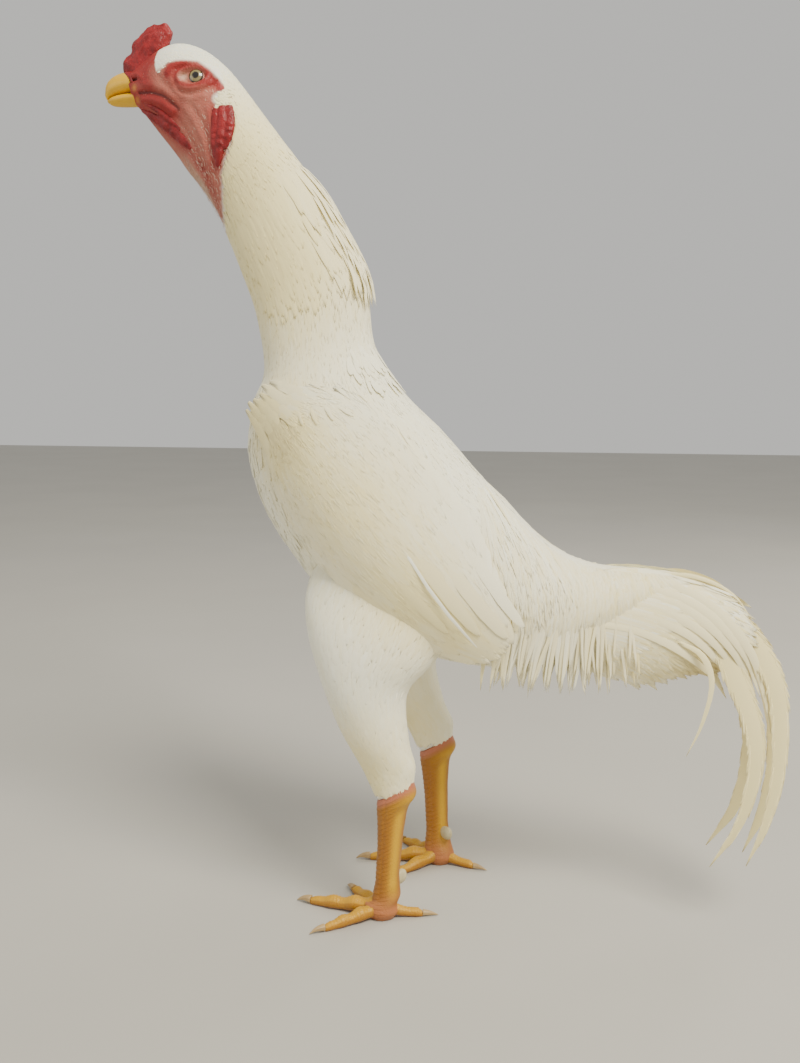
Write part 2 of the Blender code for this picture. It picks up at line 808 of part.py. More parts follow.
def make_eye(side):
    """The eye and its socket with the rim of the lids, set in the side of the head."""
    u, a = HEAD_FORM.side_angle(*EYE)
    a *= SIDES[side]
    place, out = HEAD_FORM.point(u, a), HEAD_FORM.normal(u, a)
    level = np.cross(out, (0.0, 0.0, 1.0))
    level /= np.linalg.norm(level)
    up = np.cross(level, out)
    up *= math.copysign(1.0, up[2])
    eye = dome(f"eye_{side}", place - out * 1.2, level, up, out, EYE_RADIUS, EYE_BULGE, "eye")
    socket = dome("socket", place - out * 1.2, level, up, out, EYE_RADIUS + GAP, EYE_BULGE + GAP, "face")
    rim = ring(place + out * 0.6, level, up, out, LID_HALF_LENGTH, LID_HALF_HEIGHT, LID_THICKNESS)
    return eye, socket, rim


def dome(name, centre, level, up, out, radius, depth, material):
    """A flattened ball."""
    rows, sides = 6, 12
    points = [centre + out * depth]
    for r in range(1, rows):
        tilt = math.pi * r / rows
        for k in range(sides):
            a = 2 * math.pi * k / sides
            flat = level * math.cos(a) + up * math.sin(a)
            points.append(centre + flat * radius * math.sin(tilt) + out * depth * math.cos(tilt))
    points.append(centre - out * depth)
    faces = []
    last = len(points) - 1
    for k in range(sides):
        faces.append((0, 1 + k, 1 + (k + 1) % sides))
        faces.append((last, last - sides + (k + 1) % sides, last - sides + k))
        for r in range(rows - 2):
            a = 1 + r * sides + k
            b = 1 + r * sides + (k + 1) % sides
            faces.append((a, a + sides, b + sides, b))
    return face_out(object_from(name, points, faces, material))


def ring(centre, level, up, out, half_length, half_height, thickness):
    """The fleshy rim of the lids round the eye."""
    around, sides = 14, 5
    points = []
    for i in range(around):
        a = 2 * math.pi * i / around
        flat = level * math.cos(a) * half_length + up * math.sin(a) * half_height
        outward = flat / np.linalg.norm(flat)
        for k in range(sides):
            b = 2 * math.pi * k / sides
            points.append(centre + flat + outward * thickness * math.cos(b) + out * thickness * math.sin(b))
    faces = []
    for i in range(around):
        for k in range(sides):
            j, m = (i + 1) % around, (k + 1) % sides
            faces.append((i * sides + k, j * sides + k, j * sides + m, i * sides + m))
    return face_out(object_from("rim", points, faces, "face"))


BEAK_UPPER = (
    Section(-232.9, 676.6, -228.9, 661.3, 9.2, pinch=-0.25),
    Section(-239.5, 675.6, -236, 661.0, 8.2, pinch=-0.25),
    Section(-247.5, 671.2, -245.5, 660.0, 6.0, pinch=-0.2),
    Section(-253.2, 664.8, -251.5, 657.8, 3.2),
    Section(-255.4, 657.6, -254.6, 655.6, 0.9),
)
BEAK_LOWER = (
    Section(-228.8, 660.6, -226.4, 650.4, 8.6, pinch=0.25),
    Section(-238, 660.0, -238.5, 650.6, 7.2, pinch=0.25),
    Section(-247, 658.8, -247.6, 652.0, 4.8, pinch=0.2),
    Section(-252.2, 656.6, -252.0, 654.4, 2.2),
)
COMB_OUTLINE = (
    (-236.5, 679.5), (-238.5, 685), (-231, 694), (-227, 703), (-217.5, 710), (-207, 713.2),
    (-199.5, 712.8), (-195.5, 707), (-198.5, 697.5), (-203, 689), (-213, 678), (-226, 671),
)
COMB_POINTS = 14
COMB_ROOT = (-214.0, 683.0)
# Each ridge's name, y, size against the middle one and half thickness.
COMB_RIDGES = (("comb", 0.0, 1.0, 5.2), ("ridge", -5.0, 0.74, 3.4), ("ridge", 5.0, 0.74, 3.4))
# Share of the half thickness outwards and the outline's size there.
COMB_LAYERS = ((-1.0, 0.72), (-0.72, 0.93), (0.0, 1.0), (0.72, 0.93), (1.0, 0.72))


def closed_curve(outline, count):
    """Points evenly spread along a smooth closed curve through the outline."""
    rows = [outline[-1], *outline, outline[0], outline[1]]
    return [smooth_rows(rows, 1 + len(outline) * i / count) for i in range(count)]


def make_comb():
    """A pea comb: a tall middle ridge and a lower ridge on each side, cut to the head and the beak."""
    outline = closed_curve(COMB_OUTLINE, COMB_POINTS)
    centre = np.mean(outline, axis=0)
    root = np.array(COMB_ROOT)
    ridges = []
    for name, offset, scale, half in COMB_RIDGES:
        points = []
        for out, share in COMB_LAYERS:
            for x, z in outline:
                flat = centre + (np.array([x, z]) - centre) * share
                flat = root + (flat - root) * scale
                points.append(np.array([flat[0], offset + half * out, flat[1]]))
        faces = tube_faces(len(COMB_LAYERS) - 1, COMB_POINTS)
        ridges.append(face_out(object_from(name, points, faces, "comb")))
    fuse(ridges[0], ridges[1:])
    upper = Form(BEAK_UPPER).solid("beak_swollen", 8, 14, grow=GAP)
    carve(ridges[0], [*swollen("head"), upper])


def make_beak():
    """Upper and lower beak, apart along the line of the mouth."""
    face_out(Form(BEAK_UPPER).solid("beak_upper", 8, 14, "beak"))
    face_out(Form(BEAK_LOWER).solid("beak_lower", 6, 12, "beak"))


def make_face():
    """Eyes, lids, the corner of the mouth, ears, red lobes and the wattle folds."""
    head = bpy.data.objects["head"]
    parts = [make_eye(side) for side in SIDES]
    fuse(head, [rim for _, _, rim in parts])
    grooves = []
    for sign in SIDES.values():
        line = [on_bird(x, z, sign, 0.3) for x, z in curve_through(MOUTH, 5)]
        line[0] = line[0] + np.array([-3.0, 0.0, 0.0])
        grooves.append(tube("mouth", line, MOUTH_HALF_DEPTHS, MOUTH_HALF_DEPTHS, "face", 6))
        slit = [on_bird(x, z, sign, 0.0) for x, z in curve_through(NOSTRIL, 4)]
        grooves.append(tube("nostril", slit, (0.6, 2.0, 2.4, 2.0, 0.6), NOSTRIL_HALF_HEIGHTS, "face", 6))
    carve(head, [socket for _, socket, _ in parts] + grooves)
    for side, sign in SIDES.items():
        u, a = HEAD_FORM.side_angle(*EAR)
        place, out = HEAD_FORM.point(u, a * sign), HEAD_FORM.normal(u, a * sign)
        up = np.array([-0.35, 0.0, 0.94])
        level = np.cross(out, up)
        ear = dome(f"ear_{side}", place, level, up, out, EAR_RADIUS, EAR_BULGE, "plumage")
        carve(ear, swollen("head", "neck"))
        lobe = [on_bird(x, z, sign, 1.4) for x, z in curve_through(EARLOBE, 6)]
        made = tube(f"earlobe_{side}", lobe, EARLOBE_HALF_DEPTHS, EARLOBE_HALF_WIDTHS, "comb", 8)
        over = dome("ear_swollen", place, level, up, out, EAR_RADIUS + GAP, EAR_BULGE + GAP, "plumage")
        carve(made, [*swollen("head", "neck"), over])
        fold = [on_bird(x, z, sign, 1.0) for x, z in curve_through(WATTLE, 7)]
        made = tube(f"wattle_{side}", fold, WATTLE_HALF_DEPTHS, WATTLE_HALF_WIDTHS, "comb", 7)
        carve(made, swollen("head"))


def vane(name, path, across, half_widths, half_thickness):
    """A flat feather: points of its shaft, the exact direction across it at each point, and its half sizes.

    Both faces are split into the same triangles, so that a curved vane never crosses itself.
    """
    path = [np.array(p, float) for p in path]
    points = []
    for i, p in enumerate(path):
        ahead = path[min(i + 1, len(path) - 1)] - path[max(i - 1, 0)]
        side = np.array(across[i], float)
        side /= np.linalg.norm(side)
        out = np.cross(side, ahead)
        out /= np.linalg.norm(out)
        for s, o in ((-1, 1), (1, 1), (1, -1), (-1, -1)):
            points.append(p + side * half_widths[i] * s + out * half_thickness[i] * o)
    faces = []
    for i in range(len(path) - 1):
        a, b = 4 * i, 4 * i + 4
        for k in range(4):
            j = (k + 1) % 4
            if k == 2:
                faces += [(a + k, a + j, b + k), (a + j, b + j, b + k)]
            else:
                faces += [(a + k, a + j, b + j), (a + k, b + j, b + k)]
    last = 4 * (len(path) - 1)
    faces += [(0, 3, 2), (0, 2, 1), (last, last + 1, last + 2), (last, last + 2, last + 3)]
    return face_out(object_from(name, points, faces))


def between(start, end, share):
    """A point part of the way from one to another."""
    return np.array(start, float) + (np.array(end, float) - np.array(start, float)) * share


def crosswise(path, outs):
    """The direction across a feather at each point of its shaft, level with the surface that it lies on."""
    across = []
    for i, out in enumerate(outs):
        ahead = path[min(i + 1, len(path) - 1)] - path[max(i - 1, 0)]
        across.append(np.cross(out, ahead))
    return across


def curve_through(points, count):
    """Points along a smooth curve through the given ones."""
    last = len(points) - 1
    return [smooth_rows(points, last * i / count) for i in range(count + 1)]


SICKLES = {
    "outer": (SICKLE_OUTER, 8.5, 13.0, 9.5),
    "inner": (SICKLE_INNER, 14.0, 20.0, 9.5),
}


def sickle_piece(name, outline, root_y, tip_y, half_width, sign, first, last, steps):
    """One length of a sickle feather, which arches over the tail and hangs behind it."""
    path, across, widths, thick = [], [], [], []
    for i in range(steps + 1):
        share = first + (last - first) * i / steps
        u = (len(outline) - 1) * share
        x, z = smooth_rows(outline, u)
        ahead = smooth_rows(outline, u + 0.02) - smooth_rows(outline, u - 0.02)
        ahead /= np.linalg.norm(ahead)
        path.append((x, sign * (root_y + (tip_y - root_y) * share), z))
        across.append((-ahead[1], -SICKLE_TILT * sign, ahead[0]))
        wide = min(1.0, SICKLE_ROOT_SHARE + 2.2 * share) * (1 - share**SICKLE_TAPER)
        widths.append(max(SICKLE_TIP_HALF_WIDTH, half_width * wide))
        thick.append(SICKLE_HALF_THICKNESS if share < 1 else TIP_HALF_THICKNESS)
    return vane(name, path, across, widths, thick)


def plume_vane(plume, sign, shape):
    """A tail feather that bends along an arc."""
    path, across, widths, thick = [], [], [], []
    place = np.array([plume.x, plume.z])
    before = 0.0
    for share, wide in shape:
        middle = math.radians(plume.heading - plume.bend * (share + before) / 2)
        place = place + plume.length * (share - before) * np.array([math.cos(middle), math.sin(middle)])
        before = share
        heading = math.radians(plume.heading - plume.bend * share)
        y = plume.root_y + (plume.tip_y - plume.root_y) * share
        path.append((place[0], sign * y, place[1]))
        across.append((-math.sin(heading), -PLUME_TILT * sign, math.cos(heading)))
        widths.append(plume.half_width * wide)
        thick.append(VANE_HALF_THICKNESS if share < 1 else TIP_HALF_THICKNESS)
    return vane("plume", path, across, widths, thick)


def tail_plumes():
    """The main tail feathers from the top one down, then the coverts over their roots, for one side."""
    plumes = []
    for k in range(MAIN_TAIL_FEATHERS):
        share = k / (MAIN_TAIL_FEATHERS - 1)
        plumes.append(
            Plume(
                x=166 - 10 * share,
                z=266 - 26 * share,
                heading=-30 * share,
                bend=15,
                length=106 - 34 * share**1.7,
                root_y=2.0 + 7.0 * share,
                tip_y=3.0 + 12.0 * share,
                half_width=10,
            )
        )
    for k in range(TAIL_COVERTS):
        share = k / (TAIL_COVERTS - 1)
        plumes.append(
            Plume(
                x=180 - 10 * share,
                z=273 - 22 * share,
                heading=-36 * share,
                bend=18,
                length=76 - 16 * share,
                root_y=11.0 + 3.0 * share,
                tip_y=17.0 + 2.0 * share,
                half_width=7.5,
            )
        )
    return plumes


def make_tail():
    """The tail: main feathers and coverts on each side, and sickles that arch over and hang in lengths."""
    tail = bpy.data.objects["tail"]
    pieces = []
    for side, sign in SIDES.items():
        for plume in tail_plumes():
            pieces.append(plume_vane(plume, sign, ROUNDED if plume.length > ROUND_TIPPED_FROM else TAPERED))
        for which, (outline, root_y, tip_y, half_width) in SICKLES.items():
            for part, (first, last) in enumerate(zip(SICKLE_CUTS, SICKLE_CUTS[1:])):
                name = f"sickle_{side}_{which}_{part}"
                ends = (first + (SICKLE_TRIM if part else 0.0), last - (SICKLE_TRIM if last < 1 else 0.0))
                made = sickle_piece(name, outline, root_y, tip_y, half_width, sign, *ends, SICKLE_STEPS)
                if part == 0:
                    pieces.append(made)
    fuse(tail, pieces, "MANIFOLD")
    carve(tail, swollen("saddle"), "MANIFOLD")


def make_hackles():
    """Neck hackles in rows, each over the roots of the next, with the throat left bare."""
    vanes = []
    for r, row in enumerate(HACKLE_ROWS):
        for k in range(row.count):
            spread = 2 * row.round_to / (row.count - 1)
            step = k + HACKLE_STAGGER * (r % 2) + CHANCE.uniform(-HACKLE_WOBBLE, HACKLE_WOBBLE)
            a = math.radians(-row.round_to + spread * step)
            path, outs = [], []
            for (share, _), rise in zip(TAPERED, RISE):
                u = row.start + row.reach * share
                lift = -HACKLE_SINK + (HACKLE_SINK + row.lift) * rise
                path.append(NECK_FORM.raised(u, a, lift))
                outs.append(NECK_FORM.normal(u, a))
            widths = [HACKLE_HALF_WIDTH * wide for _, wide in TAPERED]
            vanes.append(vane("hackle", path, crosswise(path, outs), widths, VANE_THICKNESSES))
    neck = fuse(bpy.data.objects["neck"], vanes, "MANIFOLD")
    carve(neck, swollen("head", "torso"), "MANIFOLD")


def saddle_side(x, z, sign):
    """The saddle's or tail root's surface and outward direction, given in side view, or None off both."""
    for form in (SADDLE_FORM, TAIL_FORM):
        found = form.side_angle(x, z)
        if found:
            u, a = found[0], found[1] * sign
            return form.point(u, a), form.normal(u, a)
    return None


def make_saddle_hackles():
    """Long narrow hackles that hang from the saddle over the flanks on each side."""
    vanes = []
    for sign in SIDES.values():
        for low_root, low_tip, high_root, high_tip, count, lift in SADDLE_ROWS:
            for k in range(count):
                share = k / (count - 1)
                root = between(low_root, high_root, share)
                tip = between(low_tip, high_tip, share)
                tip[1] += CHANCE.uniform(-SADDLE_WOBBLE, SADDLE_WOBBLE)
                path, outs = [], []
                for (t, _), rise in zip(HANGING, HANGING_RISE):
                    x, z = between(root, tip, t)
                    x += SADDLE_BEND * math.sin(math.pi * t)
                    found = saddle_side(x, z, sign)
                    hang = abs(path[-1][1]) - SADDLE_HANG if path else 0.0
                    if found and abs(found[0][1]) > hang:
                        surface, out = found
                        path.append(surface + out * (-HACKLE_SINK + (HACKLE_SINK + lift) * rise))
                    else:
                        path.append(np.array([x, sign * hang, z]))
                    outs.append(out)
                widths = [SADDLE_HALF_WIDTH * wide for _, wide in HANGING]
                thick = (VANE_HALF_THICKNESS,) * 4 + (TIP_HALF_THICKNESS,)
                vanes.append(vane("hackle", path, crosswise(path, outs), widths, thick))
    saddle = fuse(bpy.data.objects["saddle"], vanes, "MANIFOLD")
    carve(saddle, swollen("tail"), "MANIFOLD")


def centre_on_floor():
    """Moves the whole bird so that the middle of its outline stands over the origin."""
    low, high = np.full(3, np.inf), np.full(3, -np.inf)
    for obj in bpy.data.objects:
        corners = np.array([v.co for v in obj.data.vertices])
        low, high = np.minimum(low, corners.min(axis=0)), np.maximum(high, corners.max(axis=0))
    middle = (low + high) / 2
    for obj in bpy.data.objects:
        obj.location = (-middle[0], -middle[1], 0.0)


def smooth_shading():
    """Rounds the shading except along real edges."""
    for obj in bpy.data.objects:
        obj.data.shade_smooth()
        obj.data.set_sharp_from_angle(angle=math.radians(40))


def main():
    clear_scene()
    make_body()
    make_beak()
    make_comb()
    make_face()
    make_hackles()
    make_saddle_hackles()
    make_tail()
    for side in SIDES:
        make_leg(side)
        make_wing(side)
    centre_on_floor()
    smooth_shading()


main()
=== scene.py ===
"""A white shamo cock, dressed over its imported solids.

Sizes are in millimetres in the bird's own side view: x towards the tail, z up from the floor, y to its
right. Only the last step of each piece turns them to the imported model's metres.
"""

import json
import logging
import math
from dataclasses import dataclass, field, fields
from enum import Enum
from functools import lru_cache
from typing import Callable, Iterable, Optional

import bmesh
import bpy
import numpy as np
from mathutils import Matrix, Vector

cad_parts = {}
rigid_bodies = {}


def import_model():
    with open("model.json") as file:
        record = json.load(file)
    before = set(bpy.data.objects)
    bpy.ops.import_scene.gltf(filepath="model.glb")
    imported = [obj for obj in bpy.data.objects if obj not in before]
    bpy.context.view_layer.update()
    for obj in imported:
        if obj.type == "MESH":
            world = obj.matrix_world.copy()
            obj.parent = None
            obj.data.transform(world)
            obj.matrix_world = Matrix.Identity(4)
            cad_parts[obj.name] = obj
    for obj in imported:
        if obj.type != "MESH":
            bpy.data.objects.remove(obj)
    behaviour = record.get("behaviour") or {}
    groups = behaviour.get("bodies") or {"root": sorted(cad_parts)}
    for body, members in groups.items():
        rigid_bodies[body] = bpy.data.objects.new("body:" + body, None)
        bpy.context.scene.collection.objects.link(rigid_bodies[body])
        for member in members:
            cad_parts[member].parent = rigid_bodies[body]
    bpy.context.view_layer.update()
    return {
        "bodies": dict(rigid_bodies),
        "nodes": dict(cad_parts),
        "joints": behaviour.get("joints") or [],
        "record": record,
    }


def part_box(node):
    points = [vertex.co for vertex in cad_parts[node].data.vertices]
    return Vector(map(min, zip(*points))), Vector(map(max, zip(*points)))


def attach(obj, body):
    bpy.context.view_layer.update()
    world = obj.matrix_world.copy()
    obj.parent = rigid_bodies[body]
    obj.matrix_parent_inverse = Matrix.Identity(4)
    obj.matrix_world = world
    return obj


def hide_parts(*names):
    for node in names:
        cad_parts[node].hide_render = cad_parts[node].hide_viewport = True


MM = 0.001
LOG = logging.getLogger("shamo")
BODY = "root"
SIDES = {"left": -1.0, "right": 1.0}
BEAK_TIP_X = -255.5
Array = np.ndarray
Piece = bpy.types.Object
Draws = np.random.Generator
Table = tuple[tuple[float, ...], tuple[float, ...]]
UP = np.array([0.0, 0.0, 1.0])


# Sections of the head, neck, body and tail root: top x and z, low x and z, half width, middle y, pinch.
BODY_ROWS = (
    (-232.3, 677.6, -226.0, 650.2, 9.5, 0, 0.0),
    (-219, 684, -217.5, 641, 14.5, 0, 0.10),
    (-204, 692, -208, 629, 19, 0, 0.26),
    (-187, 696, -199, 618, 22.5, 0, 0.32),
    (-168, 690.5, -191.5, 608.5, 23.5, 0, 0.32),
    (-150, 677, -184.5, 598.5, 25, 0, 0.28),
    (-135, 659.5, -177, 589.5, 26.5, 0, 0.2),
    (-121, 641, -169.5, 579, 28, 0, 0.14),
    (-102, 616.5, -159.5, 563, 29.5, 0, 0.08),
    (-81.5, 590, -147.5, 538, 31.5, 0, 0.04),
    (-60, 555, -136, 510, 34, 0, 0.0),
    (-37, 509, -126, 481, 37, 0, 0.0),
    (-30, 458, -119.5, 437, 44, 0, 0.0),
    (-7, 421, -129, 408, 59, 0, 0.0),
    (25, 390, -133, 372, 69, 0, 0.0),
    (50, 362, -123, 332, 73, 0, 0.06),
    (74, 336, -99, 291, 73, 0, 0.08),
    (98, 312, -62, 247, 69, 0, 0.08),
    (123, 294.5, -8, 215, 61, 0, 0.05),
    (148, 286, 52, 201, 51, 0, 0.0),
    (170, 284, 108, 203, 39, 0, 0.0),
    (188, 283, 146, 222, 28, 0, 0.0),
    (206, 281, 172, 235, 19, 0, 0.0),
    (226, 277, 200, 250, 9, 0, 0.0),
)
# Where the face's finer rings end, and where the skin ends at the tail's root.
NECK_U, END_U = 7.0, 23.0

# Sections of thigh and drumstick: front x and z, rear x and z, half width, middle y.
THIGH_ROWS = (
    (-50, 312, 48, 276, 21, 40),
    (-71, 275, 46, 240, 29, 45),
    (-73, 243, 30, 213, 33, 50),
    (-62, 203, 9, 187, 30, 54),
    (-45, 160, 11, 150, 22, 57),
    (-26, 126, 16.5, 131, 14.5, 58),
    (-14.5, 101, 15.5, 119, 11.8, 58),
)
# How much of a leg's shift at the hock each section takes, and that shift.
HOCK_SHARE = (0.0, 0.0, 0.05, 0.3, 0.65, 0.9, 1.0)
HOCK_BACK = {"left": 0.0, "right": 12.0}

# The wing's line in side view, from shoulder to tip.
WING_START = (-103.0, 398.0)
WING_END = (94.0, 231.0)
# Along the wing: lower edge, upper edge, the outer surface's y and its ridge.
WING_ROWS = (
    (-3, -3, 14, 62, 24),
    (8, -14, 32, 68, 24),
    (32, -31, 54, 77, 19),
    (70, -48, 60, 83, 6),
    (120, -57, 52, 84, -6),
    (168, -56, 42, 80, -12),
    (212, -48, 24, 73, -8),
    (245, -33, 9, 66, -4),
    (261, -14, -2, 62, -8),
)
# How the surface falls away from its ridge, mm for each squared mm.
WING_ROUNDNESS = 0.0078

# The sickles in side view, from root to tip.
SICKLE_OUTER = (
    (176, 274), (219, 269), (248, 253), (270, 232), (286, 205), (292, 177), (293, 130), (285, 86), (272, 52),
)
SICKLE_INNER = (
    (176, 268), (213, 262), (241, 239), (259, 202), (273, 165), (275, 131), (265, 88), (244, 52),
)


def catmull(rows: Array, u: Array) -> Array:
    """Values between rows on a smooth curve.

    Args:
        rows: Table of values, one row for each whole number.
        u: Places along the table.

    Returns:
        One row of values for each place.
    """
    table = np.asarray(rows, float)
    last = len(table) - 1
    u = np.asarray(u, float)
    i = np.clip(np.floor(u), 0, last - 1).astype(int)
    t = np.clip(u - i, -0.5, 1.5)[..., None]
    a, b = table[i], table[i + 1]
    before = np.where((i > 0)[..., None], table[np.maximum(i - 1, 0)], 2 * a - b)
    after = np.where((i + 2 <= last)[..., None], table[np.minimum(i + 2, last)], 2 * b - a)
    return 0.5 * (
        2 * a
        + (b - before) * t
        + (2 * before - 5 * a + 4 * b - after) * t * t
        + (3 * a - before - 3 * b + after) * t**3
    )


def unit(v: Array) -> Array:
    """Vectors at length one."""
    return v / np.maximum(np.linalg.norm(v, axis=-1, keepdims=True), 1e-9)


class Form:
    """A smooth limb or body through cross-sections.

    u counts the sections and a turns from the top line (0) to the right.
    """

    def __init__(self, rows: Iterable[tuple[float, ...]]) -> None:
        """Keeps the table of sections."""
        self.rows = np.array([tuple(r) + (0.0,) * (7 - len(r)) for r in rows], float)
        self.last = len(self.rows) - 1.0

    def point(self, u: Array, a: Array) -> Array:
        """Points on the surface.

        Args:
            u: Places along the form.
            a: Places round it.

        Returns:
            One point for each place.
        """
        s = catmull(self.rows, u)
        up, along = np.cos(a), np.sin(a)
        x = (s[..., 0] + s[..., 2]) / 2 + (s[..., 0] - s[..., 2]) / 2 * up
        z = (s[..., 1] + s[..., 3]) / 2 + (s[..., 1] - s[..., 3]) / 2 * up
        y = s[..., 5] + s[..., 4] * along * (1 + s[..., 6] * up)
        return np.stack([x, y, z], axis=-1)

    def slopes(self, u: Array, a: Array) -> tuple[Array, Array]:
        """How the surface's points move with u and with a.

        Args:
            u: Places along the form.
            a: Places round it.

        Returns:
            Change for each unit of u, and of a.
        """
        step = 0.02
        du = (self.point(u + step, a) - self.point(u - step, a)) / (2 * step)
        da = (self.point(u, a + step) - self.point(u, a - step)) / (2 * step)
        return du, da

    def normal(self, u: Array, a: Array) -> Array:
        """Directions out of the surface.

        Args:
            u: Places along the form.
            a: Places round it.

        Returns:
            One unit vector for each place.
        """
        du, da = self.slopes(u, a)
        n = np.cross(da, du)
        s = catmull(self.rows, u)
        middle = np.stack([(s[..., 0] + s[..., 2]) / 2, s[..., 5], (s[..., 1] + s[..., 3]) / 2], axis=-1)
        away = np.sum(n * (self.point(u, a) - middle), axis=-1, keepdims=True)
        return unit(np.where(away < 0, -n, n))

    def raised(self, u: Array, a: Array, lift: Array) -> Array:
        """Points over the surface by a lift, or under it by a negative one."""
        return self.point(u, a) + self.normal(u, a) * np.asarray(lift)[..., None]


def thigh_form(side: str) -> Form:
    """The form of one side's thigh and drumstick.

    Args:
        side: left or right.

    Returns:
        The form.
    """
    rows = []
    for row, share in zip(THIGH_ROWS, HOCK_SHARE):
        back = share * HOCK_BACK[side]
        rows.append((row[0] + back, row[1], row[2] + back, row[3], row[4], SIDES[side] * row[5], 0.0))
    return Form(rows)


BIRD = Form(BODY_ROWS)


@dataclass
class Place:
    """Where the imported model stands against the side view."""

    shift: float = 0.0

    def metres(self, points: Array) -> Array:
        """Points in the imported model's frame, from millimetres in the side view.

        Args:
            points: Points, mm.

        Returns:
            The points, m.
        """
        moved = np.asarray(points, float) * MM
        moved[..., 0] += self.shift
        return moved


PLACE = Place()


def linear(code: str) -> tuple[float, float, float, float]:
    """A colour for a socket from its sRGB hex value."""
    channels = [int(code[i:i + 2], 16) / 255 for i in (1, 3, 5)]
    return (*[c / 12.92 if c <= 0.04045 else ((c + 0.055) / 1.055) ** 2.4 for c in channels], 1.0)


def add_node(tree: bpy.types.NodeTree, kind: str, settings: dict, links: dict) -> bpy.types.Node:
    """Adds a node.

    Args:
        tree: The material's nodes.
        kind: The node's type, without the word ShaderNode before it.
        settings: Values by the name of a socket, or of a property of the node in small letters.
        links: Sockets to join, by the name or number of the input.

    Returns:
        The new node.
    """
    node = tree.nodes.new(f"ShaderNode{kind}")
    for key, value in settings.items():
        if isinstance(key, str) and key.islower() and hasattr(node, key):
            setattr(node, key, value)
        else:
            node.inputs[key].default_value = value
    for key, socket in links.items():
        tree.links.new(socket, node.inputs[key])
    return node


def blank_material(name: str) -> tuple[bpy.types.Material, bpy.types.NodeTree]:
    """A new material and its tree.

    Args:
        name: Its name.

    Returns:
        The material, and its node tree.
    """
    made = bpy.data.materials.new(name)
    made.use_nodes = True
    return made, made.node_tree


def finished(made: bpy.types.Material, joins: dict, values: dict) -> bpy.types.Material:
    """Joins a material's patterns to its shader, and sets what is the same all over on the shader.

    Args:
        made: The material.
        joins: Sockets to join, by the shader's input.
        values: Values by the shader's input.

    Returns:
        The material.
    """
    shader = made.node_tree.nodes["Principled BSDF"]
    for key, socket in joins.items():
        made.node_tree.links.new(socket, shader.inputs[key])
    for key, value in values.items():
        shader.inputs[key].default_value = value
    return made


def painted(tree: bpy.types.NodeTree, colour: bpy.types.NodeSocket, marks: dict) -> bpy.types.NodeSocket:
    """Lays colours over another one where the mesh's marks say.

    Args:
        tree: The material's nodes.
        colour: The colour below.
        marks: Hex values by the name of their mark, lowest first.

    Returns:
        The colour with all marks on it.
    """
    for name, code in marks.items():
        mark = add_node(tree, "Attribute", {"attribute_name": name}, {})
        colour = add_node(
            tree, "Mix", {"data_type": "RGBA", 7: linear(code)}, {0: mark.outputs["Fac"], 6: colour},
        ).outputs[2]
    return colour


@dataclass(frozen=True)
class FeatherKeratin:
    """White feather keratin: matt and soft, with barbs that run out from the shaft like fine combed hair."""

    name: str
    bright: str
    shade: str
    cream: str
    # tan is also a painted shade: past half the stain it darkens the wing's front and lower part, the lower
    # thigh and the sickles, which lie in shade.
    tan: str
    roughness: float = 0.62
    barb_mm: float = 0.9  # real barbs are about 0.4 mm apart, which is too fine to show
    patch_mm: float = 45.0
    wave_band: float = 0.32  # spacing of the wave pattern's bands at scale 1

    def build(self) -> bpy.types.Material:
        """The material, from the feather's own map, its tone and its stain, which carries warm stains and
        painted shade.
        """
        made, tree = blank_material(self.name)
        place = add_node(tree, "TexCoord", {}, {}).outputs["Object"]
        patches = add_node(
            tree, "TexNoise", {"Scale": 1000 / self.patch_mm, "Detail": 3.0, "Roughness": 0.6},
            {"Vector": place},
        )
        tone = add_node(tree, "Attribute", {"attribute_name": "tone"}, {})
        spread = add_node(
            tree, "Math", {"operation": "MULTIPLY_ADD", 1: 0.55, 2: -0.1}, {0: patches.outputs["Fac"]},
        )
        both = add_node(
            tree, "Math", {"operation": "MULTIPLY_ADD", 1: 0.55, "use_clamp": True},
            {0: tone.outputs["Fac"], 2: spread.outputs[0]},
        )
        colour = add_node(
            tree, "Mix", {"data_type": "RGBA", 6: linear(self.bright), 7: linear(self.shade)},
            {0: both.outputs[0]},
        )
        stain = add_node(tree, "Attribute", {"attribute_name": "stain"}, {})
        # Above half the stain the colour turns to tan, which paints the shade on the lower wing, wing front,
        # lower thigh and sickles.
        for code, start in ((self.cream, 0.0), (self.tan, -1.0)):
            step = add_node(
                tree, "Math", {"operation": "MULTIPLY_ADD", 1: 2.0, 2: start, "use_clamp": True},
                {0: stain.outputs["Fac"]},
            )
            colour = add_node(
                tree, "Mix", {"data_type": "RGBA", 7: linear(code)},
                {0: step.outputs[0], 6: colour.outputs[2]},
            )
        vane = add_node(tree, "UVMap", {"uv_map": "Vane"}, {})
        barbs = add_node(
            tree, "TexWave",
            {"wave_type": "BANDS", "bands_direction": "Y", "Scale": self.wave_band / self.barb_mm,
             "Distortion": 1.2, "Detail": 2.0, "Detail Scale": 1.5},
            {"Vector": vane.outputs["UV"]},
        )
        bump = add_node(
            tree, "Bump", {"Strength": 0.14, "Distance": 0.0003}, {"Height": barbs.outputs["Fac"]},
        )
        return finished(
            made, {"Base Color": colour.outputs[2], "Normal": bump.outputs["Normal"]},
            {"Roughness": self.roughness, "IOR": 1.45, "Sheen Weight": 0.25, "Sheen Roughness": 0.5},
        )


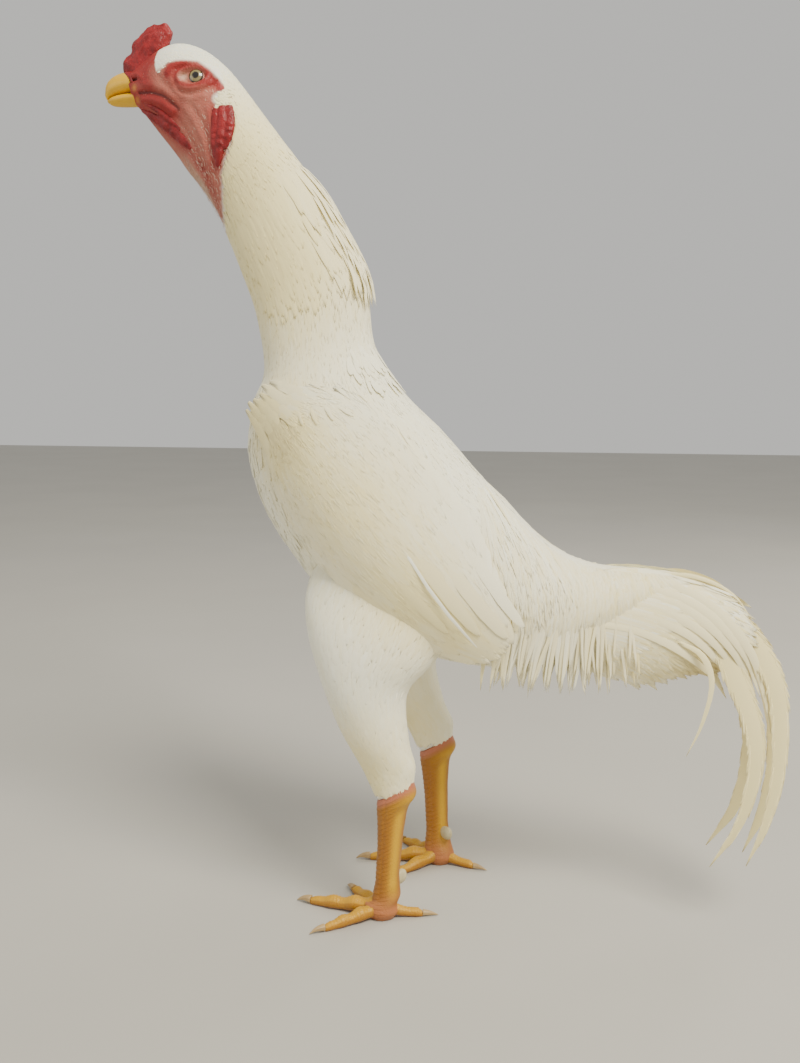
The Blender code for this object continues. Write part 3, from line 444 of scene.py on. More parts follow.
@dataclass(frozen=True)
class LivingSkin:
    """Flesh of comb, wattles and ear lobes: soft and slightly moist skin with a pebbled grain over blood."""

    name: str = "comb_flesh"
    light: str = "#962628"
    dark: str = "#701618"
    roughness: float = 0.46
    grain_mm: float = 1.1
    grain_depth: float = 0.0006
    patch_mm: float = 9.0
    glow: float = 0.12

    def build(self) -> bpy.types.Material:
        """The material, from patches of two colours and a pebbled bump."""
        made, tree = blank_material(self.name)
        place = add_node(tree, "TexCoord", {}, {}).outputs["Object"]
        patches = add_node(
            tree, "TexNoise", {"Scale": 1000 / self.patch_mm, "Detail": 4.0, "Roughness": 0.65},
            {"Vector": place},
        )
        ramp = add_node(tree, "ValToRGB", {}, {"Fac": patches.outputs["Fac"]})
        for element, position, code in zip(ramp.color_ramp.elements, (0.35, 0.65), (self.dark, self.light)):
            element.position, element.color = position, linear(code)
        grain = add_node(
            tree, "TexVoronoi", {"feature": "SMOOTH_F1", "Scale": 1000 / self.grain_mm}, {"Vector": place},
        )
        bump = add_node(
            tree, "Bump", {"Strength": 0.6, "Distance": self.grain_depth, "invert": True},
            {"Height": grain.outputs["Distance"]},
        )
        return finished(
            made, {"Base Color": ramp.outputs["Color"], "Normal": bump.outputs["Normal"]},
            {"Roughness": self.roughness, "IOR": 1.4, "Subsurface Weight": self.glow,
             "Subsurface Radius": (0.004, 0.0015, 0.001), "Subsurface Scale": 1.0},
        )


@dataclass(frozen=True)
class FaceSkin:
    """A cock's bare face: thin pink skin over blood, pebbled and wrinkled, redder round eye and mouth."""

    name: str = "face_skin"
    pink: str = "#BE7A66"
    red: str = "#962C29"
    deep: str = "#9C4A40"
    pale: str = "#CDAE94"
    yellow: str = "#D08A3C"
    # dark is painted shade, in the nostril and along the mouth.
    dark: str = "#4A1414"
    plumage: str = "#F6F3E2"
    pebble_mm: float = 1.3
    blotch_mm: float = 9.0
    wrinkle_mm: float = 2.38095

    def build(self) -> bpy.types.Material:
        """The material, from blotches, the painted places and a pebbled bump."""
        made, tree = blank_material(self.name)
        place = add_node(tree, "TexCoord", {}, {}).outputs["Object"]
        blotch = add_node(
            tree, "TexNoise", {"Scale": 1000 / self.blotch_mm, "Detail": 5.0, "Roughness": 0.7},
            {"Vector": place},
        )
        plain = add_node(
            tree, "Mix", {"data_type": "RGBA", 6: linear(self.pink), 7: linear(self.deep)},
            {0: blotch.outputs["Fac"]},
        )
        colour = painted(tree, plain.outputs[2], {
            "pale": self.pale, "red": self.red, "yellow": self.yellow, "dark": self.dark,
            "covered": self.plumage,
        })
        pebble = add_node(
            tree, "TexVoronoi", {"feature": "SMOOTH_F1", "Scale": 1000 / self.pebble_mm}, {"Vector": place},
        )
        wrinkle = add_node(
            tree, "TexNoise", {"Scale": 1000 / self.wrinkle_mm, "Detail": 4.0, "Distortion": 1.5},
            {"Vector": place},
        )
        both = add_node(
            tree, "Math", {"operation": "SUBTRACT"},
            {0: wrinkle.outputs["Fac"], 1: pebble.outputs["Distance"]},
        )
        bump = add_node(tree, "Bump", {"Strength": 0.6, "Distance": 0.0006}, {"Height": both.outputs[0]})
        return finished(
            made, {"Base Color": colour, "Normal": bump.outputs["Normal"]},
            {"Roughness": 0.5, "IOR": 1.4, "Subsurface Weight": 0.15,
             "Subsurface Radius": (0.003, 0.001, 0.0007), "Subsurface Scale": 1.0},
        )


@dataclass(frozen=True)
class EyeGloss:
    """A living eye: wet and clear over a pale iris, with a dark pupil and pink skin at its corners."""

    name: str = "wet_eye"
    stops: tuple = (
        (0.0, "#100C0A"), (0.33, "#14100C"), (0.38, "#3A301E"), (0.44, "#7C7248"), (0.60, "#8F8558"),
        (0.70, "#776C46"), (0.76, "#241812"), (0.85, "#30140F"), (0.92, "#C48878"), (1.0, "#C48878"),
    )

    def build(self) -> bpy.types.Material:
        """The material, from rings round the pupil."""
        made, tree = blank_material(self.name)
        ring = add_node(tree, "Attribute", {"attribute_name": "ring"}, {})
        ramp = add_node(tree, "ValToRGB", {}, {"Fac": ring.outputs["Fac"]})
        elements = ramp.color_ramp.elements
        for position, _ in self.stops[1:-1]:
            elements.new(position)
        for element, (_, code) in zip(elements, self.stops):
            element.color = linear(code)
        return finished(
            made, {"Base Color": ramp.outputs["Color"]},
            {"Roughness": 0.12, "IOR": 1.376, "Coat Weight": 1.0, "Coat Roughness": 0.03},
        )


@dataclass(frozen=True)
class Horn:
    """Horn of the beak, claws and spurs: smooth keratin, cloudy in tone, with a soft gloss."""

    name: str
    light: str
    dark: str
    roughness: float = 0.35
    cloud_mm: float = 8.3333
    uneven_mm: float = 1.5

    def build(self) -> bpy.types.Material:
        """The material, from clouds of two tones and a faint bump."""
        made, tree = blank_material(self.name)
        place = add_node(tree, "TexCoord", {}, {}).outputs["Object"]
        clouds = add_node(
            tree, "TexNoise", {"Scale": 1000 / self.cloud_mm, "Detail": 4.0, "Roughness": 0.6},
            {"Vector": place},
        )
        colour = add_node(
            tree, "Mix", {"data_type": "RGBA", 6: linear(self.light), 7: linear(self.dark)},
            {0: clouds.outputs["Fac"]},
        )
        fine = add_node(
            tree, "TexNoise", {"Scale": 1000 / self.uneven_mm, "Detail": 3.0}, {"Vector": place},
        )
        bump = add_node(
            tree, "Bump", {"Strength": 0.2, "Distance": 0.0003}, {"Height": fine.outputs["Fac"]},
        )
        return finished(
            made, {"Base Color": colour.outputs[2], "Normal": bump.outputs["Normal"]},
            {"Roughness": self.roughness, "IOR": 1.54},
        )


@dataclass(frozen=True)
class LegScale:
    """Leg scales: thin horny plates over orange skin, yellow at the sides and pink at the joint."""

    name: str = "leg_scales"
    orange: str = "#AE7414"
    brown: str = "#8C5210"
    yellow: str = "#D6A40C"
    pink: str = "#BE7058"
    scale_mm: float = 2.2
    blotch_mm: float = 11.1111

    def build(self) -> bpy.types.Material:
        """The material, from the painted places and a bump of small scales."""
        made, tree = blank_material(self.name)
        place = add_node(tree, "TexCoord", {}, {}).outputs["Object"]
        blotch = add_node(
            tree, "TexNoise", {"Scale": 1000 / self.blotch_mm, "Detail": 5.0, "Roughness": 0.7},
            {"Vector": place},
        )
        plain = add_node(
            tree, "Mix", {"data_type": "RGBA", 6: linear(self.orange), 7: linear(self.brown)},
            {0: blotch.outputs["Fac"]},
        )
        colour = painted(tree, plain.outputs[2], {"yellow": self.yellow, "pink": self.pink})
        scales = add_node(
            tree, "TexVoronoi", {"feature": "DISTANCE_TO_EDGE", "Scale": 1000 / self.scale_mm},
            {"Vector": place},
        )
        rim = add_node(
            tree, "Math", {"operation": "MULTIPLY", 1: 6.0, "use_clamp": True},
            {0: scales.outputs["Distance"]},
        )
        bump = add_node(tree, "Bump", {"Strength": 0.35, "Distance": 0.0004}, {"Height": rim.outputs[0]})
        return finished(
            made, {"Base Color": colour, "Normal": bump.outputs["Normal"]}, {"Roughness": 0.42, "IOR": 1.5},
        )


# Its tan, the last colour, also paints the shade of the lower wing, wing front, lower thigh and sickles.
WHITE = FeatherKeratin("white_plumage", "#FFFEEA", "#F2ECCE", "#F6E8AC", "#C2AF76")
STUBBLE = FeatherKeratin("face_stubble", "#D9B29E", "#BE8E7A", "#D2AC98", "#C09A84")
SKIN = FaceSkin()
EYE_FINISH = EyeGloss()
COMB = LivingSkin()
LEG = LegScale()
BEAK = Horn("beak_horn", "#E8BC08", "#CE960A")
CLAW = Horn("claw_horn", "#C9AE7C", "#8A6A40")
SPUR = Horn("spur_horn", "#CFC6A2", "#A89A70")


@dataclass
class Finishes:
    """Each material, made once."""

    made: dict = field(default_factory=dict)

    def get(self, finish: object) -> bpy.types.Material:
        """The material of a finish.

        Args:
            finish: The finish.

        Returns:
            Its material, built once.
        """
        if finish.name not in self.made:
            self.made[finish.name] = finish.build()
        return self.made[finish.name]


FINISHES = Finishes()


def new_object(name: str, data: bpy.types.ID) -> Piece:
    """A new object in the scene.

    Args:
        name: Its name.
        data: Its mesh, light or camera.

    Returns:
        The object.
    """
    made = bpy.data.objects.new(name, data)
    bpy.context.scene.collection.objects.link(made)
    return made


def write_marks(mesh: bpy.types.Mesh, marks: dict[str, Array]) -> None:
    """Writes shares at a mesh's points, by the name of each mark.

    Args:
        mesh: The mesh.
        marks: Values for its points, by name.
    """
    for name, values in marks.items():
        attribute = mesh.attributes.new(name, "FLOAT", "POINT")
        attribute.data.foreach_set("value", np.clip(values, 0, 1).astype(np.float32))


def mesh_object(name: str, points: Array, groups: list[Array], finish: object) -> Piece:
    """An object from points in millimetres.

    Args:
        name: The piece's name.
        points: Its points.
        groups: Tables of faces, one row of corners for each face.
        finish: Its finish.

    Returns:
        The new object, at the origin.
    """
    mesh = bpy.data.meshes.new(name)
    mesh.vertices.add(len(points))
    mesh.vertices.foreach_set("co", PLACE.metres(points).astype(np.float32).ravel())
    corners = np.concatenate([faces.ravel() for faces in groups]).astype(np.int32)
    sizes = np.concatenate([np.full(len(faces), faces.shape[1]) for faces in groups])
    starts = np.concatenate([[0], np.cumsum(sizes)[:-1]]).astype(np.int32)
    mesh.loops.add(len(corners))
    mesh.loops.foreach_set("vertex_index", corners)
    mesh.polygons.add(len(sizes))
    mesh.polygons.foreach_set("loop_start", starts)
    mesh.update(calc_edges=True)
    mesh.polygons.foreach_set("use_smooth", np.ones(len(sizes), bool))
    mesh.materials.append(FINISHES.get(finish))
    return new_object(name, mesh)


def closed_tube(name: str, grid: Array, finish: object) -> Piece:
    """A closed tube.

    Args:
        name: The piece's name.
        grid: Its rings of points.
        finish: Its finish.

    Returns:
        The tube, its ends closed to a point in each end ring's middle.
    """
    rings, sides = grid.shape[:2]
    total = rings * sides
    i, k = np.arange(rings - 1)[:, None] * sides, np.arange(sides)[None, :]
    m = (k + 1) % sides
    walls = np.stack([i + k, i + sides + k, i + sides + m, i + m], axis=-1).reshape(-1, 4)
    first = np.stack([k[0], m[0], np.full(sides, total)], axis=-1)
    last = np.stack([total - sides + m[0], total - sides + k[0], np.full(sides, total + 1)], axis=-1)
    points = np.concatenate([grid.reshape(-1, 3), [grid[0].mean(axis=0), grid[-1].mean(axis=0)]])
    made = mesh_object(name, points, [walls, np.stack([first, last], axis=1).reshape(-1, 3)], finish)
    bm = bmesh.new()
    bm.from_mesh(made.data)
    bmesh.ops.recalc_face_normals(bm, faces=bm.faces)
    bm.to_mesh(made.data)
    bm.free()
    return made


def around(u: Array, sides: int) -> tuple[Array, Array]:
    """Places on a form: each u with as many even turns from the top line."""
    return np.meshgrid(u, np.arange(sides) * 2 * math.pi / sides, indexing="ij")


def from_top(a: Array) -> Array:
    """How far a place is turned from the top line, on either side."""
    return np.abs((a + math.pi) % (2 * math.pi) - math.pi)


def bowed(centre: Array, beside: Array, over: Array, wide: Array, high: Array) -> Array:
    """Rings of points round a line, from their reach beside it and over it.

    Args:
        centre: The line's points.
        beside: Directions beside it.
        over: Directions over it.
        wide: Reach beside it, by point and turn.
        high: Reach over it.

    Returns:
        The rings.
    """
    return centre[:, None] + beside * wide[..., None] + over * high[..., None]


def only(obj: Piece) -> None:
    """Makes one object the active and only selected one.

    Args:
        obj: The object.
    """
    bpy.ops.object.select_all(action="DESELECT")
    obj.select_set(True)
    bpy.context.view_layer.objects.active = obj


def apply_modifier(obj: Piece, kind: str, settings: dict) -> None:
    """Adds a modifier and applies it.

    Args:
        obj: The object.
        kind: The modifier's type.
        settings: Its properties.
    """
    modifier = obj.modifiers.new(kind.lower(), kind)
    for key, value in settings.items():
        setattr(modifier, key, value)
    only(obj)
    bpy.ops.object.modifier_apply(modifier=modifier.name)


def softened(made: Piece, voxel: float, lumps: tuple, finish: object) -> Piece:
    """Merges a piece's parts to one soft lumpy skin.

    Args:
        made: The piece.
        voxel: Size of the remesh, mm.
        lumps: Pairs of grain and height for the lumps, mm.
        finish: Its finish.

    Returns:
        The piece.
    """
    apply_modifier(made, "REMESH", {"mode": "VOXEL", "voxel_size": voxel * MM, "use_smooth_shade": True})
    apply_modifier(made, "SMOOTH", {"factor": 0.5, "iterations": 6})
    for grain, height in lumps:
        clouds = bpy.data.textures.new(f"{made.name}_{grain}", "CLOUDS")
        clouds.noise_scale = grain * MM
        clouds.noise_depth = 2
        apply_modifier(
            made, "DISPLACE",
            {"texture": clouds, "strength": height * MM, "mid_level": 0.5, "texture_coords": "LOCAL"},
        )
    for polygon in made.data.polygons:
        polygon.use_smooth = True
    made.data.materials.clear()
    made.data.materials.append(FINISHES.get(finish))
    LOG.info("%s: %d faces", made.name, len(made.data.polygons))
    return made


def ride(obj: Piece, slot: str, *nodes: str) -> Piece:
    """Hangs a piece on the bird.

    Args:
        obj: The piece.
        slot: The record's material slot, which is not used.
        nodes: The solids that it stands for.

    Returns:
        The piece.
    """
    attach(obj, BODY)
    if nodes:
        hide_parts(*nodes)
    return obj


class VaneShape(Enum):
    """Outlines of feathers: shares of the length and of the half width, root first."""

    CONTOUR = ((0.0, 0.35), (0.25, 0.8), (0.55, 1.0), (0.8, 0.9), (0.93, 0.6), (1.0, 0.12))
    HACKLE = ((0.0, 0.5), (0.2, 0.9), (0.45, 1.0), (0.7, 0.8), (0.88, 0.45), (1.0, 0.05))
    QUILL = ((0.0, 0.4), (0.2, 0.85), (0.45, 1.0), (0.7, 1.0), (0.9, 0.75), (0.97, 0.4), (1.0, 0.1))
    DOWN = ((0.0, 0.5), (0.4, 1.0), (0.75, 0.7), (1.0, 0.1))
    BARB = ((0.0, 0.4), (0.35, 1.0), (0.72, 0.75), (1.0, 0.05))

    @property
    def shares(self) -> Array:
        """Shares of the length."""
        return np.array([s for s, _ in self.value])

    @property
    def widths(self) -> Array:
        """Shares of the half width."""
        return np.array([w for _, w in self.value])


@dataclass
class Strokes:
    """Feathers as paths: points, outward directions and half widths, with each root's place on the unwrap."""

    path: Array
    out: Array
    half: Array
    patch: Array
    tone: Array
    stain: Array

    def only(self, keep: Array) -> "Strokes":
        """The chosen feathers."""
        return Strokes(*[getattr(self, f.name)[keep] for f in fields(self)])


@dataclass
class Coat:
    """One piece of the coat: many thin closed vanes joined in one mesh."""

    name: str
    thickness: float = 0.35
    cup: float = 0.16
    full_half: float = 1.5  # half width from which a shaft stands at its full height
    slant: float = 0.8  # of the barbs, against the shaft
    patch_size: float = 0.003  # a vane's share of the unwrap
    points: list = field(default_factory=list)
    faces: list = field(default_factory=list)
    vane_map: list = field(default_factory=list)
    bake_map: list = field(default_factory=list)
    tones: list = field(default_factory=list)
    stains: list = field(default_factory=list)
    total: int = 0

    def add(self, s: Strokes) -> None:
        """Adds feathers, each a three-sided solid with its shaft as the ridge.

        Args:
            s: The feathers' paths.
        """
        count, rings = s.path.shape[:2]
        if not count:
            return
        ahead = np.gradient(s.path, axis=1)
        side = unit(np.cross(s.out, ahead))
        out = unit(np.cross(ahead, side))
        half = s.half[..., None]
        left = s.path - side * half - out * half * self.cup
        right = s.path + side * half - out * half * self.cup
        shaft = s.path + out * self.thickness * np.minimum(1.0, s.half / self.full_half)[..., None]
        self.points.append(np.stack([left, shaft, right], axis=2).reshape(-1, 3))
        base = self.total + np.arange(count)[:, None, None] * rings * 3
        ring = np.arange(rings - 1)[None, :, None] * 3
        for a, b in ((0, 1), (1, 2), (2, 0)):
            self.faces.append((base + ring + np.array([a, b, b + 3, a + 3])).reshape(-1, 4))
        caps = np.array([[0, 2, 1, 1], [0, 1, 2, 2]])
        caps[1] += (rings - 1) * 3
        self.faces.append((base + caps).reshape(-1, 4))
        self.total += count * rings * 3
        steps = np.linalg.norm(np.diff(s.path, axis=1), axis=-1)
        length = np.concatenate([np.zeros((count, 1)), np.cumsum(steps, axis=1)], axis=1)
        across = np.stack([-s.half, np.zeros_like(s.half), s.half], axis=2)
        along = length[:, :, None] + np.abs(across) * self.slant
        self.vane_map.append(np.stack([across, along], axis=-1).reshape(-1, 2))
        share = length / np.maximum(length[:, -1:], 1e-6)
        spot = np.stack(np.broadcast_arrays(share[:, :, None] - 0.5, np.array([-0.5, 0.0, 0.5])), axis=-1)
        self.bake_map.append((s.patch[:, None, None, :] + spot * self.patch_size).reshape(-1, 2))
        self.tones.append(np.repeat(s.tone, rings * 3))
        self.stains.append(np.repeat(s.stain, rings * 3))

    def build(self, finish: object) -> Piece:
        """The mesh with its maps and tones.

        Args:
            finish: What it is made of.

        Returns:
            The coat's object.
        """
        quads = np.concatenate(self.faces)
        caps = quads[:, 2] == quads[:, 3]
        made = mesh_object(self.name, np.concatenate(self.points), [quads[~caps], quads[caps][:, :3]], finish)
        mesh = made.data
        corner = np.empty(len(mesh.loops), np.int32)
        mesh.loops.foreach_get("vertex_index", corner)
        for name, maps in (("OFBake", self.bake_map), ("Vane", self.vane_map)):
            table = np.concatenate(maps).astype(np.float32)
            mesh.uv_layers.new(name=name).data.foreach_set("uv", table[corner].ravel())
        write_marks(mesh, {"tone": np.concatenate(self.tones), "stain": np.concatenate(self.stains)})
        ends = np.empty(len(mesh.edges) * 2, np.int32)
        mesh.edges.foreach_get("vertices", ends)
        kind = ends.reshape(-1, 2) % 3
        attribute = mesh.attributes.new("sharp_edge", "BOOLEAN", "EDGE")
        attribute.data.foreach_set("value", (kind[:, 0] == kind[:, 1]) & (kind[:, 0] != 1))
        mesh.uv_layers.active = mesh.uv_layers["OFBake"]
        LOG.info("%s: %d triangles", self.name, 2 * int((~caps).sum()) + int(caps.sum()))
        return made

    def hang(self, *nodes: str) -> Piece:
        """Builds it in white and hangs it on the bird for the solids that it stands for."""
        return ride(self.build(WHITE), "plumage", *nodes)


def even(value: float) -> Table:
    """A table with the same value everywhere."""
    return (0.0,), (value,)


@dataclass(frozen=True)
class Growth:
    """How a layer of feathers grows on a form, as tables of values at places along it.

    Spacing, length and half width are in millimetres. The spreads are the least and greatest random factors.
    """

    extent: tuple[float, float]
    to_next_row: Table
    to_neighbour: Table
    length: Table
    half: Table
    turn: Table = ((0.0,), (0.0,))
    length_spread: tuple[float, float] = (0.85, 1.15)
    half_spread: tuple[float, float] = (0.85, 1.15)
    sway: float = 0.06
    pitch: float = 1.0
    broad: float = 1.0
    shorter_beside: float = 0.0

    def roots(self, form: Form, rng: Draws) -> tuple[Array, Array]:
        """Roots in staggered rows round a form.

        Args:
            form: The form.
            rng: Source of the small differences.

        Returns:
            Places along and round the form.
        """
        us, angles = [], []
        (u, stop), row = self.extent, 0
        ring = np.linspace(-math.pi, math.pi, 73)
        while u < stop:
            points = form.point(np.full(len(ring), u), ring)
            arcs = np.concatenate([[0.0], np.cumsum(np.linalg.norm(np.diff(points, axis=0), axis=-1))])
            count = max(5, int(arcs[-1] / (self.pitch * np.interp(u, *self.to_neighbour))))
            places = (np.arange(count) + 0.5 * (row % 2) + rng.uniform(-0.28, 0.28, count)) / count
            angles.append(np.interp((places % 1.0) * arcs[-1], arcs, ring))
            gap = float(np.linalg.norm(form.slopes(np.array(u), np.array(math.pi / 2))[0]))
            step = self.pitch * np.interp(u, *self.to_next_row)
            us.append(np.full(count, u) + rng.uniform(-0.25, 0.25, count) * step / gap)
            u += step / gap
            row += 1
        return np.concatenate(us), np.concatenate(angles)


@dataclass
class Lie:
    """How feathers lie on a form: from roots down the flow, turned towards the belly, rising to their tips.

    sunk and rise are the depth of the root and the height of the tip in millimetres, and dip is how far a tip
    comes down again. Past hang_from a feather leaves the form and falls, by sag at each step.
    """

    form: Form
    shape: VaneShape
    rng: Draws
    sunk: float
    rise: float
    dip: float = 0.45
    hang_from: float = 9.0
    sag: float = 0.25
    uneven: float = 0.12
    least_slope: float = 4.0

    def arch(self, share: float) -> float:
        """Share of the full height at a place on the feather, which comes down again at its tip."""
        return share**0.7 - self.dip * max(0.0, share - 0.6) / 0.4

    def strokes(
        self, u: Array, a: Array, length: Array, half: Array, turn: Array, sway: float = 0.06,
    ) -> Strokes:
        """Lays feathers.

        Args:
            u: Root places along the form.
            a: Root places round it, from -pi to pi.
            length: Lengths.
            half: Half widths.
            turn: Angles from the flow towards the belly.
            sway: Random turn.

        Returns:
            The feathers' paths.
        """
        shares = self.shape.shares
        count, rings = len(u), len(shares)
        turn = turn + self.rng.normal(0, sway, count)
        patch = 0.02 + 0.96 * np.stack([u / self.form.last, (a / (2 * math.pi)) % 1.0], axis=-1)
        lift = self.rng.normal(0, self.uneven, count)
        points, outs = [], []
        uu, aa = u.copy(), a.copy()
        hanging = np.zeros(count, bool)
        for r in range(rings):
            if r:
                step = length * (shares[r] - shares[r - 1])
                du, da = self.form.slopes(uu, aa)
                uu = uu + np.cos(turn) * step / np.maximum(np.linalg.norm(du, axis=-1), self.least_slope)
                da = np.maximum(np.linalg.norm(da, axis=-1), self.least_slope)
                aa = aa + np.sin(turn) * np.sign(aa) * step / da
            height = -self.sunk + (self.sunk + self.rise + lift) * self.arch(shares[r])
            out = self.form.normal(uu, aa)
            at = self.form.point(uu, aa) + out * height[:, None]
            if r:
                hanging |= (np.abs(aa) > self.hang_from) | (uu > self.form.last + 0.3)
                onward = unit(points[-1] - points[-2]) if r > 1 else unit(at - points[-1])
                onward = unit(onward + np.array([0.0, 0.0, -self.sag]))
                at = np.where(hanging[:, None], points[-1] + onward * step[:, None], at)
                out = np.where(hanging[:, None], outs[-1], out)
            points.append(at)
            outs.append(out)
        middle = points[rings // 2]
        # Warm cream from the side view's places, with painted shade on the lower wing, wing front, lower
        # thigh and sickles.
        warm_and_shade = warmth_and_painted_shade(middle[:, 0], middle[:, 2]) + self.rng.normal(0, 0.03, count)
        return Strokes(
            path=np.stack(points, axis=1),
            out=np.stack(outs, axis=1),
            half=half[:, None] * self.shape.widths[None, :],
            patch=patch,
            tone=np.clip(self.rng.normal(0.3, 0.12, count), 0, 1),
            stain=np.clip(warm_and_shade, 0, 1),
        )

    def kept(self, u: Array, a: Array) -> Array:
        """Which roots lie inside the feathered part, with a slightly ragged edge."""
        at = self.form.point(u, a)
        return feathered(at[:, 0], at[:, 2]) > self.rng.uniform(-0.6, 1.0, len(u))

    def grown(self, growth: Growth, keep: Optional[Callable[[Array, Array], Array]] = None) -> Strokes:
        """Lays a layer of feathers.

        Args:
            growth: How it grows.
            keep: Tells which roots stay, from their places along and round the form.

        Returns:
            The feathers' paths.
        """
        u, a = growth.roots(self.form, self.rng)
        if keep:
            stay = keep(u, a)
            u, a = u[stay], a[stay]
        length = np.interp(u, *growth.length) * self.rng.uniform(*growth.length_spread, len(u))
        length = length * (1 - growth.shorter_beside * np.abs(a))
        half = np.interp(u, *growth.half) * self.rng.uniform(*growth.half_spread, len(u)) * growth.broad
        return self.strokes(u, a, length, half, np.interp(u, *growth.turn), growth.sway)


# Places in side view where the white is warmer: cream on neck and tail, and painted shade that darkens the
# wing's front and lower part, the lower thigh and the sickles' low ends towards tan. x, z, reach, share of
# the warm colour.
WARM_AND_SHADED_PLACES = (
    (-95, 510, 70, 0.54), (-140, 600, 60, 0.54), (-30, 335, 60, 0.44), (-86, 385, 34, 0.54),
    (20, 262, 44, 0.46), (62, 236, 24, 0.34), (100, 262, 50, 0.04), (190, 238, 60, 0.22),
    (228, 212, 36, 0.26), (278, 140, 75, 0.62), (262, 200, 35, 0.3), (-25, 122, 46, 0.5),
)


def warmth_and_painted_shade(x: Array, z: Array) -> Array:
    """Share of the warm colour at places in side view, which is also painted shade on the wing's front and
    lower part, the lower thigh and the sickles.

    Args:
        x: Places towards the tail.
        z: Heights.

    Returns:
        Shares from 0 to 0.95.
    """
    total = np.zeros(np.shape(x))
    for at_x, at_z, reach, share in WARM_AND_SHADED_PLACES:
        total = total + share * np.exp(-(((x - at_x) ** 2 + (z - at_z) ** 2) / reach**2))
    return np.minimum(total, 0.95)


# Where feathers begin on the head, in side view: the crown's lower edge, then the nape's front edge.
CROWN_LINE_X = (-202.0, -200.0, -195.0, -189.0, -177.9, -164.9, -155.8, -148.6, -143.2, -141.5)
CROWN_LINE_Z = (677.0, 670.5, 672.0, 676.5, 677.2, 675.9, 669.6, 662.6, 655.6, 653.1)
NAPE_LINE_Z = (515.0, 535.0, 559.5, 576.5, 593.4, 603.4, 616.5, 629.8, 643.1, 653.0)
NAPE_LINE_X = (-190.0, -156.0, -149.5, -147.2, -144.9, -141.0, -135.7, -134.8, -135.4, -141.5)
EAR_PATCH = (-144.5, 646.8, 7.5, 5.5)


def feathered(x: Array, z: Array) -> Array:
    """How far places in side view lie inside the feathered part of the head and neck.

    Args:
        x: Places towards the tail.
        z: Heights.

    Returns:
        Distances in millimetres, below 0 on bare skin.
    """
    over = z - np.interp(x, CROWN_LINE_X, CROWN_LINE_Z)
    over = np.where(x < CROWN_LINE_X[0], -9.0, over)
    behind = x - np.interp(z, NAPE_LINE_Z, NAPE_LINE_X)
    behind = np.where(z < NAPE_LINE_Z[0], 9.0, np.where(z > NAPE_LINE_Z[-1], over, behind))
    middle_x, middle_z, half_x, half_z = EAR_PATCH
    ear = (1 - np.hypot((x - middle_x) / half_x, (z - middle_z) / half_z)) * half_z
    return np.maximum(np.maximum(np.where(z > NAPE_LINE_Z[-1], over, -9.0), behind), ear)


# The eye's middle in side view, and the lids' opening: middle, half length and half height.
EYE = (-166.3, 665.4)
EYE_OPENING = (-168.6, 665.2, 10.6, 5.7)


@dataclass(frozen=True)
class Fold:
    """A ridge or groove of the bare skin along a line in side view."""

    line: tuple
    width: float
    height: float


# The line of the mouth, the brow and the nostril, and all folds with their width and height.
GAPE = ((-219, 657.6), (-206.8, 656.2), (-195.6, 652.7), (-188.2, 647.2), (-182, 641))
BROW = (
    (-190, 669), (-188, 672), (-181.7, 675), (-172.3, 675), (-163.1, 672.3), (-155.9, 667.4), (-149.5, 662.4),
)
NOSTRIL = ((-228, 668.6), (-222, 668.6))
FOLDS = (
    Fold(GAPE, 1.2, -1.5),
    Fold(((-216, 652), (-205, 650.5), (-195, 646.5), (-187, 640)), 2.6, 1.7),
    Fold(((-213, 663), (-203, 661), (-193, 656), (-185, 650)), 2.4, 0.9),
    Fold(BROW, 2.0, 1.5),
    Fold(((-184, 670.6), (-176, 672.4), (-167, 672.2), (-158, 667.8)), 0.9, -1.0),
    Fold(((-181.5, 664), (-178.6, 658.4), (-170.2, 655.6), (-162.7, 656.6), (-154.5, 660.8)), 1.5, 1.2),
    Fold(((-184, 660), (-179, 653.6), (-170, 651.2), (-161, 652.4), (-151, 657.5)), 1.1, -1.0),
    Fold(((-184, 656), (-177, 649.6), (-168, 647.4), (-158, 649)), 1.8, 0.7),
    Fold(((-199, 668), (-192, 660), (-184, 652)), 1.4, -0.6),
    Fold(((-152, 664), (-147, 658), (-146, 653)), 1.6, 0.9),
    Fold(((-176, 642), (-168, 630), (-161, 616), (-158, 600)), 1.8, 0.9),
    Fold(((-169, 642), (-161, 630), (-156, 615), (-154, 598)), 1.2, -1.1),
    Fold(((-186, 638), (-177, 626), (-169, 612), (-165, 596)), 1.5, -0.7),
    Fold(((-156, 640), (-153, 626), (-154, 612), (-156, 594)), 1.6, 0.9),
    Fold(((-184, 606), (-174, 590), (-164, 572), (-158, 556)), 1.6, -1.1),
    Fold(((-178, 606), (-168, 590), (-159, 572), (-154, 556)), 1.8, 1.0),
    Fold(((-168, 604), (-160, 588), (-154, 570), (-151, 552)), 1.2, -0.8),
    Fold(((-228.5, 668.6), (-221.5, 668.6)), 1.0, -2.2),
    Fold(((-230, 672.2), (-221, 672.4), (-216, 669)), 1.6, 0.9),
)


def distance_to_line(x: Array, z: Array, line: tuple) -> Array:
    """Distances in side view from points to a broken line.

    Args:
        x: Places towards the tail.
        z: Heights.
        line: Its corners.

    Returns:
        One distance for each point.
    """
    best = np.full(x.shape, np.inf)
    for (x0, z0), (x1, z1) in zip(line, line[1:]):
        run = np.array([x1 - x0, z1 - z0], float)
        t = np.clip(((x - x0) * run[0] + (z - z0) * run[1]) / (run @ run), 0, 1)
        best = np.minimum(best, np.hypot(x - x0 - t * run[0], z - z0 - t * run[1]))
    return best


def eye_distance(x: Array, z: Array) -> Array:
    """Distance from the eye's middle in side view, as a share of the lids' opening."""
    middle_x, middle_z, half_length, half_height = EYE_OPENING
    return np.hypot((x - middle_x) / half_length, (z - middle_z) / half_height)


def bump_at(distance: Array, middle: float, width: float) -> Array:
    """A soft bump round a distance."""
    return np.exp(-(((distance - middle) / width) ** 2))


